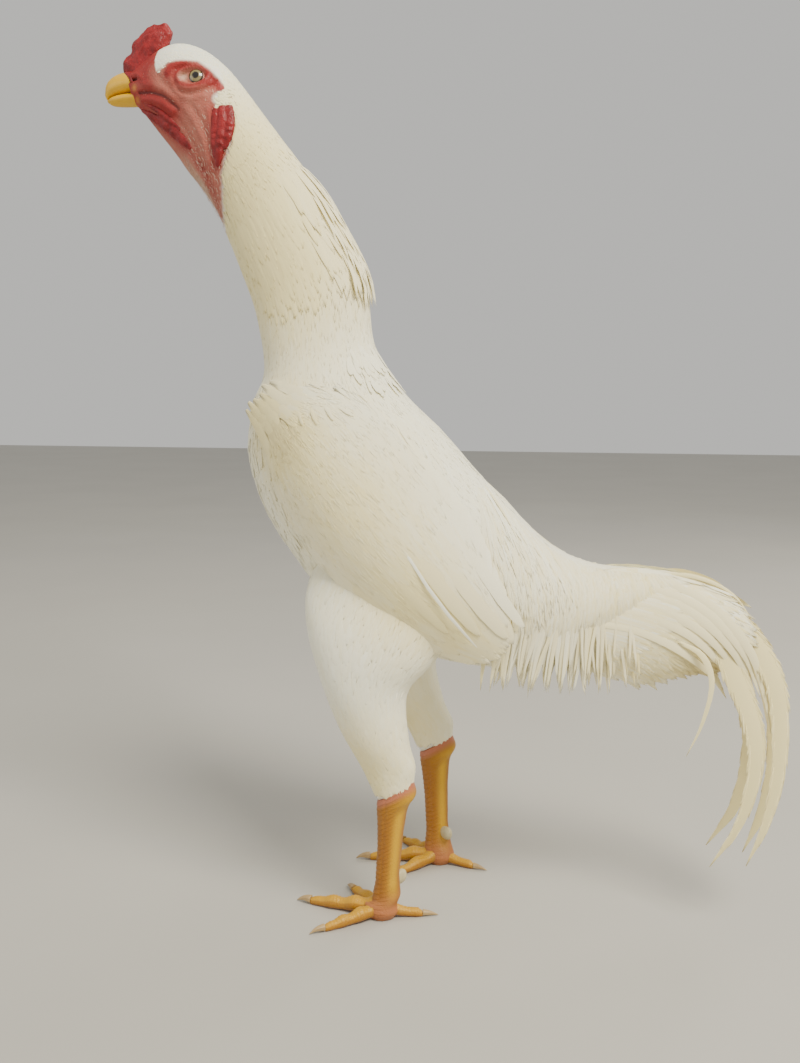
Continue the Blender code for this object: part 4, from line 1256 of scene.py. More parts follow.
# Redder skin: a line in side view, its reach and its strength.
RED_PLACES = (
    (((-230, 672), (-218, 674), (-208, 682)), 10.0, 1.2),
    (((-226, 655), (-214, 654), (-200, 649), (-188, 640)), 8.0, 1.1),
    (((-214, 668), (-206, 662)), 5.0, 0.6),
    (((-190, 668), (-186, 674), (-176, 674)), 3.5, 1.0),
    (((-156, 664), (-148, 658), (-145, 653)), 5.0, 1.0),
    (((-220, 644), (-201, 633), (-182, 618)), 5.0, 0.9),
    (((-150, 636), (-148, 618), (-150, 598)), 6.5, 0.9),
    (((-166, 596), (-158, 578), (-153, 560)), 4.5, 0.7),
    (((-178, 612), (-170, 600)), 4.0, 0.5),
)


@dataclass
class Skin:
    """The bird's skin from beak to tail and down the thighs, in one piece."""

    sides: int = 150
    head_rings: int = 150
    body_rings: int = 110
    coat_depth: float = 2.0

    def inset(self, u: Array) -> Array:
        """How far the skin lies under the solids at a place: nothing on the face, the coat's depth behind."""
        return np.interp(u, (0, 5.5, 8.0, 13.0, 23.0), (0, 0, 1.2, self.coat_depth, self.coat_depth * 0.7))

    def body(self) -> Piece:
        """Head, neck, body and tail root as one closed loft."""
        face = np.linspace(0, NECK_U, self.head_rings, endpoint=False)
        u = np.concatenate([face, np.linspace(NECK_U, END_U, self.body_rings)])
        uu, aa = around(u, self.sides)
        lift = self.folds(BIRD.point(uu, aa), uu, aa) - self.inset(uu)
        return closed_tube("skin", BIRD.raised(uu, aa, lift), SKIN)

    def folds(self, points: Array, u: Array, a: Array) -> Array:
        """Height of the face's folds, the lids and the eye's socket over the plain form.

        Args:
            points: Points of the plain form.
            u: Places along the form.
            a: Places round it.

        Returns:
            One height for each point.
        """
        x, z = points[..., 0], points[..., 2]
        beside = np.clip((np.abs(np.sin(a)) - 0.35) / 0.3, 0, 1)
        height = np.zeros(x.shape)
        for fold in FOLDS:
            height += fold.height * bump_at(distance_to_line(x, z, fold.line), 0.0, fold.width)
        d = eye_distance(x, z)
        height *= np.clip((d - 1.0) / 0.4, 0, 1)
        height += 1.5 * bump_at(d, 1.16, 0.13) - 2.6 * (1 - 1 / (1 + np.exp(-(d - 0.93) * 30)))
        height += 0.8 * bump_at(d, 1.75, 0.2)
        return height * beside * (u < 9.5)

    def paint(self, skin: Piece) -> None:
        """Marks where the skin is redder, where it is pale, where shade is painted in the nostril and along
        the mouth, and where feathers cover it.

        Args:
            skin: The skin.
        """
        mesh = skin.data
        co = np.empty(len(mesh.vertices) * 3, np.float32)
        mesh.vertices.foreach_get("co", co)
        co = co.reshape(-1, 3).astype(float)
        x, z = (co[:, 0] - PLACE.shift) / MM, co[:, 2] / MM
        d = eye_distance(x, z)
        red = np.zeros(x.shape)
        for line, reach, share in RED_PLACES:
            red += share * bump_at(distance_to_line(x, z, line), 0.0, reach)
        red += 0.9 * bump_at(d, 1.35, 0.3) + 0.4 * bump_at(d, 1.9, 0.3)
        pale = np.clip((612 - z) / 30, 0, 1) * np.clip((-166 - x + (600 - z) * 0.55) / 10, 0, 1)
        pale += 0.8 * bump_at(np.hypot(x + 177, z - 665), 0.0, 3.2)
        # Painted shade: the nostril's opening and the line of the mouth are darkened as the shade inside
        # them.
        dark = 1.2 * bump_at(distance_to_line(x, z, NOSTRIL), 0.0, 1.1)
        dark += 0.75 * bump_at(distance_to_line(x, z, GAPE), 0.0, 1.2)
        yellow = 0.8 * bump_at(np.hypot(x + 223.5, z - 662), 0.0, 2.4)
        yellow += 0.6 * bump_at(np.hypot(x + 222, z - 653), 0.0, 2.6)
        under = np.clip((feathered(x, z) + 1.0) / 3.0, 0, 1)
        write_marks(mesh, {"red": red, "pale": pale, "dark": dark, "yellow": yellow, "covered": under})

    def thigh(self, side: str) -> Piece:
        """One thigh as a closed loft under its feathers.

        Args:
            side: left or right.

        Returns:
            The thigh, apart from the skin.
        """
        form = thigh_form(side)
        uu, aa = around(np.linspace(0, form.last, 50), 40)
        depth = np.interp(uu, (0, 4.0, form.last), (self.coat_depth, self.coat_depth, 1.2))
        return closed_tube(f"thigh_skin_{side}", form.raised(uu, aa, -depth), SKIN)

    def build(self) -> Piece:
        """The whole skin."""
        skin = self.body()
        for side in SIDES:
            thigh = self.thigh(side)
            apply_modifier(skin, "BOOLEAN", {"operation": "UNION", "solver": "MANIFOLD", "object": thigh})
            bpy.data.objects.remove(thigh, do_unlink=True)
        self.paint(skin)
        LOG.info("skin: %d faces", len(skin.data.polygons))
        return ride(
            skin, "face", "head", "neck", "torso", "saddle", "thigh_left", "thigh_right", "drumstick_left",
            "drumstick_right",
        )


@dataclass
class BodyCoat:
    """Feathers of breast, back and belly, the hackles of neck and saddle, and the fine barbs over them."""

    saddle_end_z: float = 188.0
    lock_mm: float = 10.0

    def neck(self) -> Piece:
        """Smooth short hackles, small under the face and long over the shoulders."""
        coat, spots, at = Coat("coat_neck"), (5, 8, 13), (5, 7, 10, 13)
        lie = Lie(BIRD, VaneShape.HACKLE, sunk=1.2, rise=0.3, rng=np.random.default_rng(11))
        hackles = Growth(
            (5.0, 13.2), (spots, (2.6, 4.2, 5.6)), (spots, (2.0, 3.2, 4.4)), (at, (9, 20, 42, 46)),
            (at, (1.6, 2.4, 3.6, 4.6)), even(0.05),
        )
        coat.add(lie.grown(hackles, lie.kept))
        return coat.hang()

    def mane(self) -> Piece:
        """Longer hackles down the back of the neck, loose at their tips, and fine barbs all over the neck."""
        coat = Coat("coat_mane", thickness=0.25)
        rng = np.random.default_rng(16)
        for reach, rise, low, high in (
            (2.2, 0.9, 2.8, 4.2), (0.8, 2.6, 2.6, 3.8), (0.45, 4.6, 2.2, 3.2), (0.35, 7.4, 1.6, 2.6),
        ):
            lie = Lie(BIRD, VaneShape.HACKLE, sunk=1.0, rise=rise, dip=0.25, rng=rng)
            hackles = Growth(
                (8.6, 10.45), even(4.0), even(3.6), even(1.0), even(1.0), length_spread=(40, 56),
                half_spread=(low, high), shorter_beside=0.12,
            )
            coat.add(lie.grown(hackles, lambda u, a: np.abs(a) < reach + rng.uniform(-0.15, 0.15, len(a))))
        lie = Lie(BIRD, VaneShape.BARB, sunk=0.5, rise=0.1, dip=0.0, rng=rng)
        barbs = Growth(
            (5.2, 13.2), even(3.9), even(2.9), ((5, 8, 13), (7, 14, 20)), even(1.0), even(0.05),
            half_spread=(0.5, 1.0), sway=0.1,
        )
        coat.add(lie.grown(barbs, lie.kept))
        return coat.hang()

    def crown(self) -> Piece:
        """Tiny close feathers over the crown, nape and ears."""
        coat = Coat("coat_head", thickness=0.2)
        lie = Lie(BIRD, VaneShape.DOWN, sunk=0.5, rise=0.3, rng=np.random.default_rng(14))
        down = Growth(
            (1.9, 7.6), even(1.35), even(1.35), ((2, 4, 7.6), (4.0, 6.0, 10.0)), ((2, 7.6), (0.75, 1.4)),
            even(0.1), sway=0.12,
        )
        coat.add(lie.grown(down, lie.kept))
        return coat.hang()

    def ears(self) -> Piece:
        """The white tuft over each ear."""
        coat, count = Coat("coat_ears", thickness=0.2), 190
        rng = np.random.default_rng(17)
        middle_u, middle_a = side_place(*EAR_PATCH[:2])
        for sign in SIDES.values():
            u = middle_u - 0.1 + rng.normal(0, 0.1, count)
            a = sign * (middle_a + rng.normal(0, 0.09, count))
            lie = Lie(BIRD, VaneShape.DOWN, sunk=0.4, rise=1.0, dip=0.4, rng=rng)
            length, half = rng.uniform(4.0, 6.5, count), rng.uniform(0.5, 0.9, count)
            coat.add(lie.strokes(u, a, length, half, np.full(count, -0.3), sway=0.15))
        return coat.hang("ear_left", "ear_right")

    def stubble(self) -> Piece:
        """Sparse bristles on the face, and small thin feathers down the bare throat."""
        coat = Coat("coat_stubble", thickness=0.12)
        rng = np.random.default_rng(18)
        for count, first, least, most, half, rise in (
            (3600, 1.2, 1.4, 2.6, 0.11, 0.12), (1100, 5.0, 3.0, 5.5, 0.22, 0.35),
        ):
            u = rng.uniform(first, 9.6, count)
            a = rng.uniform(0.7, math.pi, count) * rng.choice([-1, 1], count)
            at = BIRD.point(u, a)
            inside = feathered(at[:, 0], at[:, 2])
            thick = np.interp(u, (1.2, 4.0, 7.0, 9.6), (0.25, 0.5, 0.9, 1.0))
            keep = (inside < 1.5) & (rng.uniform(0, 1, count) < thick)
            keep &= eye_distance(at[:, 0], at[:, 2]) > 1.4
            u, a = u[keep], a[keep]
            lie = Lie(BIRD, VaneShape.BARB, sunk=0.2, rise=rise, dip=0.0, rng=rng)
            length = rng.uniform(least, most, len(u))
            coat.add(lie.strokes(u, a, length, np.full(len(u), half), np.full(len(u), 0.0), sway=0.35))
        return ride(coat.build(STUBBLE), "plumage")

    def trunk(self) -> Piece:
        """Rounded feathers of breast, back, flanks and belly."""
        coat, spots, at = Coat("coat_body"), (11, 14, 22), (11.5, 14, 22)
        lie = Lie(BIRD, VaneShape.CONTOUR, sunk=1.4, rise=0.3, rng=np.random.default_rng(12))
        coat.add(lie.grown(Growth(
            (11.6, 22.2), (spots, (5.2, 6.0, 6.0)), (spots, (4.6, 5.6, 5.6)), (at, (26, 32, 30)),
            (at, (5.0, 6.2, 6.0)), even(0.12),
        )))
        return coat.hang()

    def barbs(self) -> Piece:
        """Fine barbs that soften the edges of the contour feathers, and loose tufts along the breast."""
        coat = Coat("coat_body_barbs", thickness=0.2)
        rng = np.random.default_rng(15)
        lie = Lie(BIRD, VaneShape.BARB, sunk=0.6, rise=0.02, dip=0.0, rng=rng)
        coat.add(lie.grown(Growth(
            (11.6, 22.0), even(5.0), even(3.8), even(1.0), even(1.0), even(0.12), length_spread=(12, 22),
            half_spread=(0.7, 1.3), sway=0.12,
        )))
        for count, rise, low, high, first, last, inner, outer in (
            (420, 0.5, 2.6, 4.6, 12.0, 15.8, 1.75, math.pi), (70, 1.4, 1.4, 2.6, 12.0, 15.8, 2.2, math.pi),
            (260, 0.7, 0.5, 1.0, 11.8, 16.2, 2.3, math.pi), (70, 2.2, 1.8, 3.0, 11.9, 12.5, 0.0, 0.9),
        ):
            u = rng.uniform(first, last, count)
            a = rng.uniform(inner, outer, count) * rng.choice([-1, 1], count)
            lie = Lie(BIRD, VaneShape.CONTOUR, sunk=1.0, rise=rise, dip=0.2, rng=rng)
            length, half = rng.uniform(18, 32, count), rng.uniform(low, high, count)
            coat.add(lie.strokes(u, a, length, half, np.zeros(count), sway=0.15))
        return coat.hang()

    def saddle(self) -> Piece:
        """Long narrow hackles that hang from the saddle over the flanks."""
        coat = Coat("coat_saddle", thickness=0.6, cup=0.24)
        rng = np.random.default_rng(13)
        edge = ((15.4, 16.5, 17.5, 18.5, 22), (0.3, 0.7, 1.0, 1.45, 1.45))
        for first, row_mm, neighbour_mm, low, high, rise in (
            (15.4, 4.0, 3.0, 1.5, 2.5, 1.6), (15.4, 6.5, 4.0, 0.9, 1.6, 2.9), (18.8, 5.0, 3.2, 1.2, 2.2, 4.0),
        ):
            lie = Lie(BIRD, VaneShape.HACKLE, sunk=0.9, rise=rise, dip=0.2, hang_from=1.9, rng=rng)
            hackles = Growth(
                (first, 21.9), even(row_mm), even(neighbour_mm), ((15.4, 18, 20, 22), (62, 94, 88, 54)),
                even(1.0), ((15.4, 17, 19, 20.5, 22), (0.5, 0.8, 1.1, 1.0, 0.6)), length_spread=(0.8, 1.05),
                half_spread=(low, high), sway=0.05,
            )
            made = lie.grown(hackles, lambda u, a: np.abs(a) < np.interp(u, *edge))
            count = len(made.tone)
            made.tone[:] = rng.uniform(0, 0.9, count)
            made.stain[:] = np.clip(made.stain + rng.uniform(0, 0.4, count) ** 1.5, 0, 1)
            self.locks(made, rng)
            coat.add(made.only(made.path[:, -1, 2] > self.saddle_end_z + rng.uniform(-2, 6, count)))
        return coat.hang()

    def locks(self, made: Strokes, rng: Draws) -> None:
        """Draws the hackles' tips together into pointed locks.

        Args:
            made: The hackles.
            rng: Source of the small differences.
        """
        tip = made.path[:, -1, 0]
        number = np.floor(tip / self.lock_mm)
        middle = (number + 0.5 + 0.25 * np.sin(number * 2.3)) * self.lock_mm
        share = np.linspace(0, 1, made.path.shape[1]) ** 2.2
        free = np.clip((238.0 - made.path[:, -1, 2]) / 24.0, 0, 1)
        pull = free * 0.72 * (middle - tip) * rng.uniform(0.6, 1.1, len(tip))
        off = np.abs(middle - tip) / self.lock_mm
        made.path[:, :, 0] += share * pull[:, None]
        made.path[:, :, 2] += share * (free * (22.0 * off - 4.0 + 4.0 * np.sin(number * 3.7)))[:, None]

    def thighs(self) -> None:
        """Soft close feathers down the thighs, ending in a ragged edge at the hock."""
        spots, at = (0, 3, 6), (0, 3, 5.4)
        for seed, side in enumerate(SIDES):
            coat = Coat(f"coat_thigh_{side}", thickness=0.25)
            rng = np.random.default_rng(20 + seed)
            for shape, sunk, rise, broad, pitch, sway in (
                (VaneShape.CONTOUR, 1.4, 0.3, 1.15, 1.0, 0.06), (VaneShape.BARB, 0.6, -0.2, 0.3, 0.72, 0.12),
            ):
                growth = Growth(
                    (0.2, 5.4), (spots, (6.0, 5.0, 3.4)), (spots, (5.0, 4.2, 3.0)), (at, (28, 22, 13)),
                    (at, (5.2, 4.2, 2.6)), sway=sway, pitch=pitch, broad=broad,
                )
                coat.add(Lie(thigh_form(side), shape, sunk=sunk, rise=rise, rng=rng).grown(growth))
            coat.hang()

    def build(self) -> None:
        """All of the body's coat."""
        for grow in (
            self.crown, self.ears, self.stubble, self.neck, self.mane, self.trunk, self.barbs, self.saddle,
            self.thighs,
        ):
            grow()


@dataclass(frozen=True)
class Ridge:
    """A fleshy ridge along a line in side view, with half widths and heights from end to end."""

    line: tuple
    widths: tuple
    heights: tuple


@dataclass
class Head:
    """Beak, comb, wattles, ear lobes and eyes."""

    upper_rows: tuple = (
        (-231.0, 677.8, -226.5, 661.3, 9.8, 0, -0.2),
        (-239.5, 677.2, -236, 661.0, 8.6, 0, -0.2),
        (-247.6, 674.2, -245.0, 660.0, 6.6, 0, -0.15),
        (-252.8, 669.4, -250.5, 658.6, 4.4, 0, -0.1),
        (-255.0, 661.8, -252.6, 656.2, 1.9, 0, 0.0),
    )
    lower_rows: tuple = (
        (-227.0, 661.0, -224.5, 650.4, 9.0, 0, 0.25),
        (-238, 660.6, -238.5, 650.8, 7.4, 0, 0.25),
        (-247, 659.4, -247.6, 652.0, 5.0, 0, 0.2),
        (-252.2, 657.2, -252.0, 654.4, 2.4, 0, 0.0),
    )
    comb_outline: tuple = (
        (-236.9, 678.5), (-237.6, 684.5), (-230.5, 692.4), (-227.6, 701.0), (-222.6, 704.4), (-217.3, 709.9),
        (-206.6, 713.0), (-198.4, 711.6), (-194.9, 706.6), (-196.4, 700.0), (-199.6, 693.0), (-203.0, 684.0),
        (-210.0, 675.0), (-222.0, 668.0), (-233.0, 672.5),
    )
    # Each ridge's y, size against the middle one and half thickness.
    comb_ridges: tuple = ((0.0, 1.0, 5.4), (-5.0, 0.76, 3.8), (5.0, 0.76, 3.8))
    comb_root: tuple = (-215.0, 680.0)
    wattle: tuple = (
        Ridge(
            ((-222, 647), (-210, 640), (-200, 633.5), (-189, 625), (-180, 617.5), (-173, 611)),
            (1.6, 3.8, 4.6, 4.8, 4.2, 1.6), (0.8, 1.8, 2.2, 2.4, 2.2, 0.7),
        ),
        Ridge(
            ((-216, 650), (-204, 644), (-192, 635), (-182, 626)), (1.0, 2.4, 2.6, 1.2), (0.6, 1.8, 1.8, 0.6),
        ),
    )
    lobe: tuple = (
        Ridge(
            ((-139.5, 642), (-137.5, 631), (-138.5, 619), (-142.5, 607)),
            (3.0, 4.0, 4.0, 2.2), (1.4, 2.6, 2.6, 1.2),
        ),
        Ridge(
            ((-144.5, 642), (-143, 630), (-144.5, 617), (-146.8, 604), (-148.7, 594)),
            (3.0, 4.2, 4.2, 3.6, 1.6), (1.4, 3.0, 3.2, 2.6, 1.0),
        ),
        Ridge(
            ((-149.5, 640), (-149.8, 627), (-150.5, 614), (-150.8, 601)),
            (2.2, 3.2, 3.2, 1.8), (0.8, 2.0, 2.0, 0.8),
        ),
    )
    eye_radius: float = 8.6
    iris_reach: float = 6.6

    def loft(self, name: str, rows: tuple, finish: object) -> Piece:
        """A closed smooth loft.

        Args:
            name: Its name.
            rows: Its sections.
            finish: What it is made of.

        Returns:
            The new object.
        """
        form = Form(rows)
        uu, aa = around(np.linspace(0, form.last, 36), 40)
        return closed_tube(name, form.point(uu, aa), finish)

    def beak(self) -> None:
        """The two halves of the beak, and the red skin that grows over the upper one's root."""
        ride(self.loft("beak_top", self.upper_rows, BEAK), "beak", "beak_upper")
        ride(self.loft("beak_under", self.lower_rows, BEAK), "beak", "beak_lower")
        form = Form(self.upper_rows)
        vv, aa = around(np.linspace(0, 1, 14), 64)
        turn = from_top(aa)
        reach = np.interp(turn, (0.0, 0.5, 1.0, 1.6, 2.1, math.pi), (1.1, 0.8, 0.38, 0.08, -0.12, -0.2))
        reach = reach + 0.05 * np.sin(5 * aa) * (turn < 1.6)
        lift = 1.1 * (1 - vv**3) - 0.9 * vv**6
        ride(closed_tube("cere", form.raised(-0.3 + vv * (reach + 0.3), aa, lift), COMB), "comb")

    def eye(self, side: str) -> None:
        """An eyeball, turned to look out, with rings for pupil and iris.

        Args:
            side: left or right.
        """
        u, a = side_place(EYE[0], EYE[1])
        a *= SIDES[side]
        place, out = BIRD.point(u, a), BIRD.normal(u, a)
        centre = PLACE.metres(place - out * (self.eye_radius - 0.4))
        bpy.ops.object.select_all(action="DESELECT")
        bpy.ops.mesh.primitive_uv_sphere_add(
            segments=48, ring_count=36, radius=self.eye_radius * MM, location=tuple(centre),
            rotation=Vector(out).to_track_quat("Z", "Y").to_euler(),
        )
        made = bpy.context.active_object
        made.name = f"eyeball_{side}"
        bpy.ops.object.transform_apply(location=True, rotation=True, scale=True)
        bpy.ops.object.shade_smooth()
        mesh = made.data
        co = np.array([v.co for v in mesh.vertices]) - centre
        axial = co @ out
        radial = np.linalg.norm(co - axial[:, None] * out, axis=-1) / MM
        write_marks(mesh, {"ring": np.where(axial > 0, radial / self.iris_reach, 1.0)})
        mesh.materials.append(FINISHES.get(EYE_FINISH))
        ride(made, "eye", f"eye_{side}")

    def ridge(self, name: str, ridge: Ridge, sign: float) -> Piece:
        """One fleshy ridge, half sunk in the face.

        Args:
            name: Its name.
            ridge: Its line and sizes.
            sign: Side of the bird.

        Returns:
            The piece.
        """
        share = np.linspace(0, 1, 40)
        flat = catmull(np.array(ridge.line, float), share * (len(ridge.line) - 1))
        places = np.array([side_place(x, z) for x, z in flat])
        kernel = np.ones(7) / 7
        u, a = [np.convolve(np.pad(place, 3, mode="edge"), kernel, "valid") for place in places.T]
        at, out = BIRD.point(u, sign * a), BIRD.normal(u, sign * a)
        beside = unit(np.cross(unit(np.gradient(at, axis=0)), out))
        wide, high = [
            np.interp(share, np.linspace(0, 1, len(sizes)), sizes) for sizes in (ridge.widths, ridge.heights)
        ]
        crimp = 1 + 0.16 * np.sin(share * 34 + np.sin(share * 11) * 2)
        turn = np.arange(28) * 2 * math.pi / 28
        up = np.sin(turn) * np.where(np.sin(turn) > 0, 1.0, 1.32)
        grid = bowed(
            at, beside[:, None], out[:, None], wide[:, None] * np.cos(turn), (high * crimp)[:, None] * up,
        )
        return closed_tube(name, grid, COMB)

    def joined(self, name: str, parts: list) -> Piece:
        """Several pieces as one.

        Args:
            name: The whole piece's name.
            parts: The pieces.

        Returns:
            The whole piece.
        """
        only(parts[0])
        for part in parts[1:]:
            part.select_set(True)
        if len(parts) > 1:
            bpy.ops.object.join()
        parts[0].name = name
        return parts[0]

    def comb(self) -> None:
        """A pea comb: a tall middle ridge with a lower one on each side, grown together."""
        steps = 72
        table = np.array(self.comb_outline + self.comb_outline[:3], float)
        rim = catmull(table, 1 + len(self.comb_outline) * np.arange(steps) / steps)
        root = np.array(self.comb_root)
        parts = []
        for number, (y, size, thick) in enumerate(self.comb_ridges):
            depth = np.sin(np.linspace(-math.pi / 2, math.pi / 2, 9))
            spread = np.sqrt(np.maximum(0.0, 1 - np.abs(depth) ** 3)) * 0.5 + 0.5
            nick = 1 + 0.02 * np.sin(np.arange(steps) * 2 * math.pi * 11 / steps + number * 2)
            shape = root + (rim - root) * size * nick[:, None]
            rings = root + (shape[None] - root) * spread[:, None, None]
            side = np.repeat((y + depth * thick)[:, None], steps, axis=1)
            grid = np.stack([rings[..., 0], side, rings[..., 1]], axis=-1)
            parts.append(closed_tube(f"ridge_{number}", grid, COMB))
        made = softened(self.joined("comb_flesh", parts), 0.75, ((7.0, 2.2), (2.4, 0.5)), COMB)
        ride(made, "comb", "comb")

    def build(self) -> None:
        """All pieces of the head."""
        self.beak()
        self.comb()
        for side, sign in SIDES.items():
            self.eye(side)
            for kind, ridges in (("wattle", self.wattle), ("earlobe", self.lobe)):
                parts = [self.ridge(f"{kind}_{n}", ridge, sign) for n, ridge in enumerate(ridges)]
                made = softened(self.joined(f"{kind}_flesh_{side}", parts), 0.6, ((3.0, 0.5),), COMB)
                ride(made, "comb", f"{kind}_{side}")


@dataclass(frozen=True)
class LegPlan:
    """How far a leg's hock and ankle stand behind the plain leg, and where its foot rests."""

    hock_back: float
    ankle_back: float
    foot_x: float
    foot_y: float


@dataclass(frozen=True)
class ToePlan:
    """A toe: its heading away from straight ahead, length, root radius and number of pads."""

    heading: float
    length: float
    radius: float
    pads: int


@dataclass
class Leg:
    """A scaled shank with its foot."""

    side: str
    plans: dict = field(
        default_factory=lambda: {
            "left": LegPlan(0.0, -7.5, -12.0, 53.5), "right": LegPlan(12.0, 16.0, 16.5, 53.5),
        }
    )
    toes: dict = field(
        default_factory=lambda: {
            "inner": ToePlan(-48, 47, 6.4, 2), "middle": ToePlan(-8, 62, 7.0, 3),
            "outer": ToePlan(40, 50, 6.2, 3), "back": ToePlan(193, 33, 5.6, 1),
        }
    )
    front: float = -14.2
    rear: float = 15.2
    half_width: float = 11.4
    top_front_z: float = 100.5
    top_back_z: float = 118.5
    ankle_z: float = 20.0
    hock_y: float = 58.0
    # Shares of the top's reach behind and before the bone, at places down the shank.
    down: tuple = (0.0, 0.1, 0.22, 0.45, 0.82, 1.0)
    swell: tuple = (1.0, 1.0, 0.80, 0.66, 0.60, 0.74)
    before: tuple = (1.0, 0.97, 0.88, 0.78, 0.74, 0.88)
    spur_out: tuple = (0.62, -0.76, 0.12)
    spur_z: float = 30.0
    spur_reach: float = 17.5
    # Places along the spur, and its radius there.
    spur_radius: tuple = ((0.0, 0.45, 0.65, 0.82, 0.93, 1.0), (3.6, 4.4, 4.6, 4.2, 3.0, 1.0))
    scute: float = 4.3
    toe_scute: float = 3.0

    def plates(self, along: Array, turn: Array, size: float, height: float) -> Array:
        """Height of the overlapping plates: a wide column in front and a narrower one at each side.

        Args:
            along: Distance down the leg or toe.
            turn: Turn from its front or top.
            size: Length of a plate.
            height: Height of its edge.

        Returns:
            One height for each place.
        """
        edge, far_edge, soft = 1.15, 2.0, 0.12
        middle = np.clip((edge - turn) / soft, 0, 1)
        beside = np.clip((turn - edge) / soft, 0, 1) * np.clip((far_edge - turn) / soft, 0, 1)
        step = (along / size + 0.05 * turn**2) % 1.0
        other = (along / (size * 0.8) + 0.4 + 0.1 * turn) % 1.0
        groove = 0.5 * height * bump_at(turn, edge, 0.09)
        return height * (middle * step**1.4 + 0.7 * beside * other**1.4) - groove

    def marks(self, made: Piece, **marks: Array) -> None:
        """Writes the places of the other colours, and the same at the tube's two ends.

        Args:
            made: The tube.
            marks: Shares for its rings of points, by name.
        """
        write_marks(made.data, {
            name: np.concatenate([values.ravel(), values[0, :1], values[-1, :1]])
            for name, values in marks.items()
        })

    def shank(self) -> None:
        """The shank from the hock to the ball of the foot."""
        plan, sign = self.plans[self.side], SIDES[self.side]
        rows = []
        for down in np.linspace(0, 1, 12):
            back = plan.hock_back + (plan.ankle_back - plan.hock_back) * down
            swell = float(np.interp(down, self.down, self.swell))
            before = float(np.interp(down, self.down, self.before))
            rows.append((
                self.front * before + back, self.top_front_z + (self.ankle_z - 5.0 - self.top_front_z) * down,
                self.rear * swell + back, self.top_back_z + (self.ankle_z - self.top_back_z) * down,
                self.half_width * (0.30 + 0.70 * swell),
                sign * (self.hock_y + (plan.foot_y - self.hock_y) * down),
            ))
        for height, reach in ((12.0, 13.0), (6.0, 14.0), (0.6, 10.5)):
            rows.append(
                (plan.foot_x - reach, height, plan.foot_x + reach, height, reach * 0.8, sign * plan.foot_y)
            )
        form = Form(rows)
        uu, aa = around(np.linspace(0, form.last, 260), 80)
        turn = from_top(aa)
        along = np.interp(uu, (0, 11, form.last), (0, 88, 104))
        lift = self.plates(along, turn, self.scute, 0.5)
        lift += 3.2 * bump_at(turn, 2.9, 0.8) * bump_at(along, 10.0, 6.5)
        groove = np.clip((along - 12) / 10, 0, 1) * np.clip((92 - along) / 8, 0, 1)
        lift -= 0.9 * bump_at(turn, 2.05, 0.3) * groove
        made = closed_tube(f"shank_scales_{self.side}", form.raised(uu, aa, lift - 0.2), LEG)
        yellow = bump_at(turn, 2.25, 0.42) * np.clip((96 - along) / 20, 0, 1)
        yellow *= np.clip((along - 14) / 8, 0, 1)
        yellow += 0.75 * bump_at(along, 11.0, 6.0) * bump_at(turn, 2.6, 0.9)
        pink = 0.75 * np.clip((8 - along) / 5, 0, 1) + 0.4 * np.clip((along - 80) / 14, 0, 1)
        self.marks(made, yellow=yellow, pink=pink)
        ride(made, "leg", f"shank_{self.side}")

    def spur(self) -> None:
        """A short blunt spur, taller than it is wide, that grows out of the shank's inner back."""
        plan, sign = self.plans[self.side], SIDES[self.side]
        ahead = unit(np.array([self.spur_out[0], sign * self.spur_out[1], self.spur_out[2]]))
        beside = unit(np.array([-ahead[1], ahead[0], 0.0]))
        share = np.linspace(0, 1, 24)
        radius = np.interp(share, *self.spur_radius)[:, None]
        centre = np.array([plan.ankle_back + 2.0, sign * plan.foot_y, self.spur_z])
        centre = centre + ahead * (self.spur_reach * share)[:, None]
        turn = np.arange(28) * 2 * math.pi / 28
        grid = bowed(centre, beside, UP, 0.82 * radius * np.cos(turn), 1.3 * radius * np.sin(turn))
        made = softened(closed_tube(f"spur_{self.side}_horn", grid, SPUR), 0.5, (), SPUR)
        ride(made, "horn", f"spur_{self.side}")

    def claw(self, frame: dict, which: str) -> None:
        """A claw: its solid, rounded.

        Args:
            frame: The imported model.
            which: The toe.
        """
        node = f"claw_{self.side}_{which}"
        made = new_object(f"{node}_horn", frame["nodes"][node].data.copy())
        only(made)
        bpy.ops.object.mode_set(mode="EDIT")
        bpy.ops.mesh.select_all(action="SELECT")
        bpy.ops.mesh.remove_doubles(threshold=0.00001)
        bpy.ops.object.mode_set(mode="OBJECT")
        ride(softened(made, 0.4, (), CLAW), "horn", node)

    def toe(self, which: str) -> None:
        """A toe with plates on top and pads below.

        Args:
            which: The toe.
        """
        plan, toe, sign = self.plans[self.side], self.toes[which], SIDES[self.side]
        heading = math.radians(toe.heading)
        ahead = np.array([-math.cos(heading), sign * math.sin(heading), 0.0])
        beside = np.array([-ahead[1], ahead[0], 0.0])
        share = np.linspace(-0.02, 1.0, 110)
        radius = toe.radius * (1.0 - 0.42 * share) * (1.0 + 0.10 * np.cos(2 * math.pi * share * toe.pads))
        radius *= np.interp(share, (-0.02, 0.88, 1.0), (1.0, 1.0, 0.66))
        reach = 5.0 + (toe.length - 5.0) * share
        centre = np.array([plan.foot_x, sign * plan.foot_y, 0.0]) + ahead * reach[:, None]
        centre[:, 2] = radius * 0.90 + 3.0 * (1 - share) ** 2
        a = np.arange(36) * 2 * math.pi / 36
        turn = np.repeat(from_top(a)[None], len(share), axis=0)
        size = radius[:, None] + self.plates((share * toe.length)[:, None], turn, self.toe_scute, 0.35) - 0.1
        grid = bowed(centre, beside, UP, size * np.sin(a), size * 0.95 * np.cos(a))
        grid[..., 2] = np.maximum(grid[..., 2], 0.15 + 0.1 * np.abs(np.sin(a)))
        made = closed_tube(f"toe_scales_{self.side}_{which}", grid, LEG)
        self.marks(made, yellow=0.2 + 0.45 * (turn < 1.2), pink=0.5 * np.clip((turn - 2.0) / 0.6, 0, 1))
        ride(made, "leg", f"toe_{self.side}_{which}")

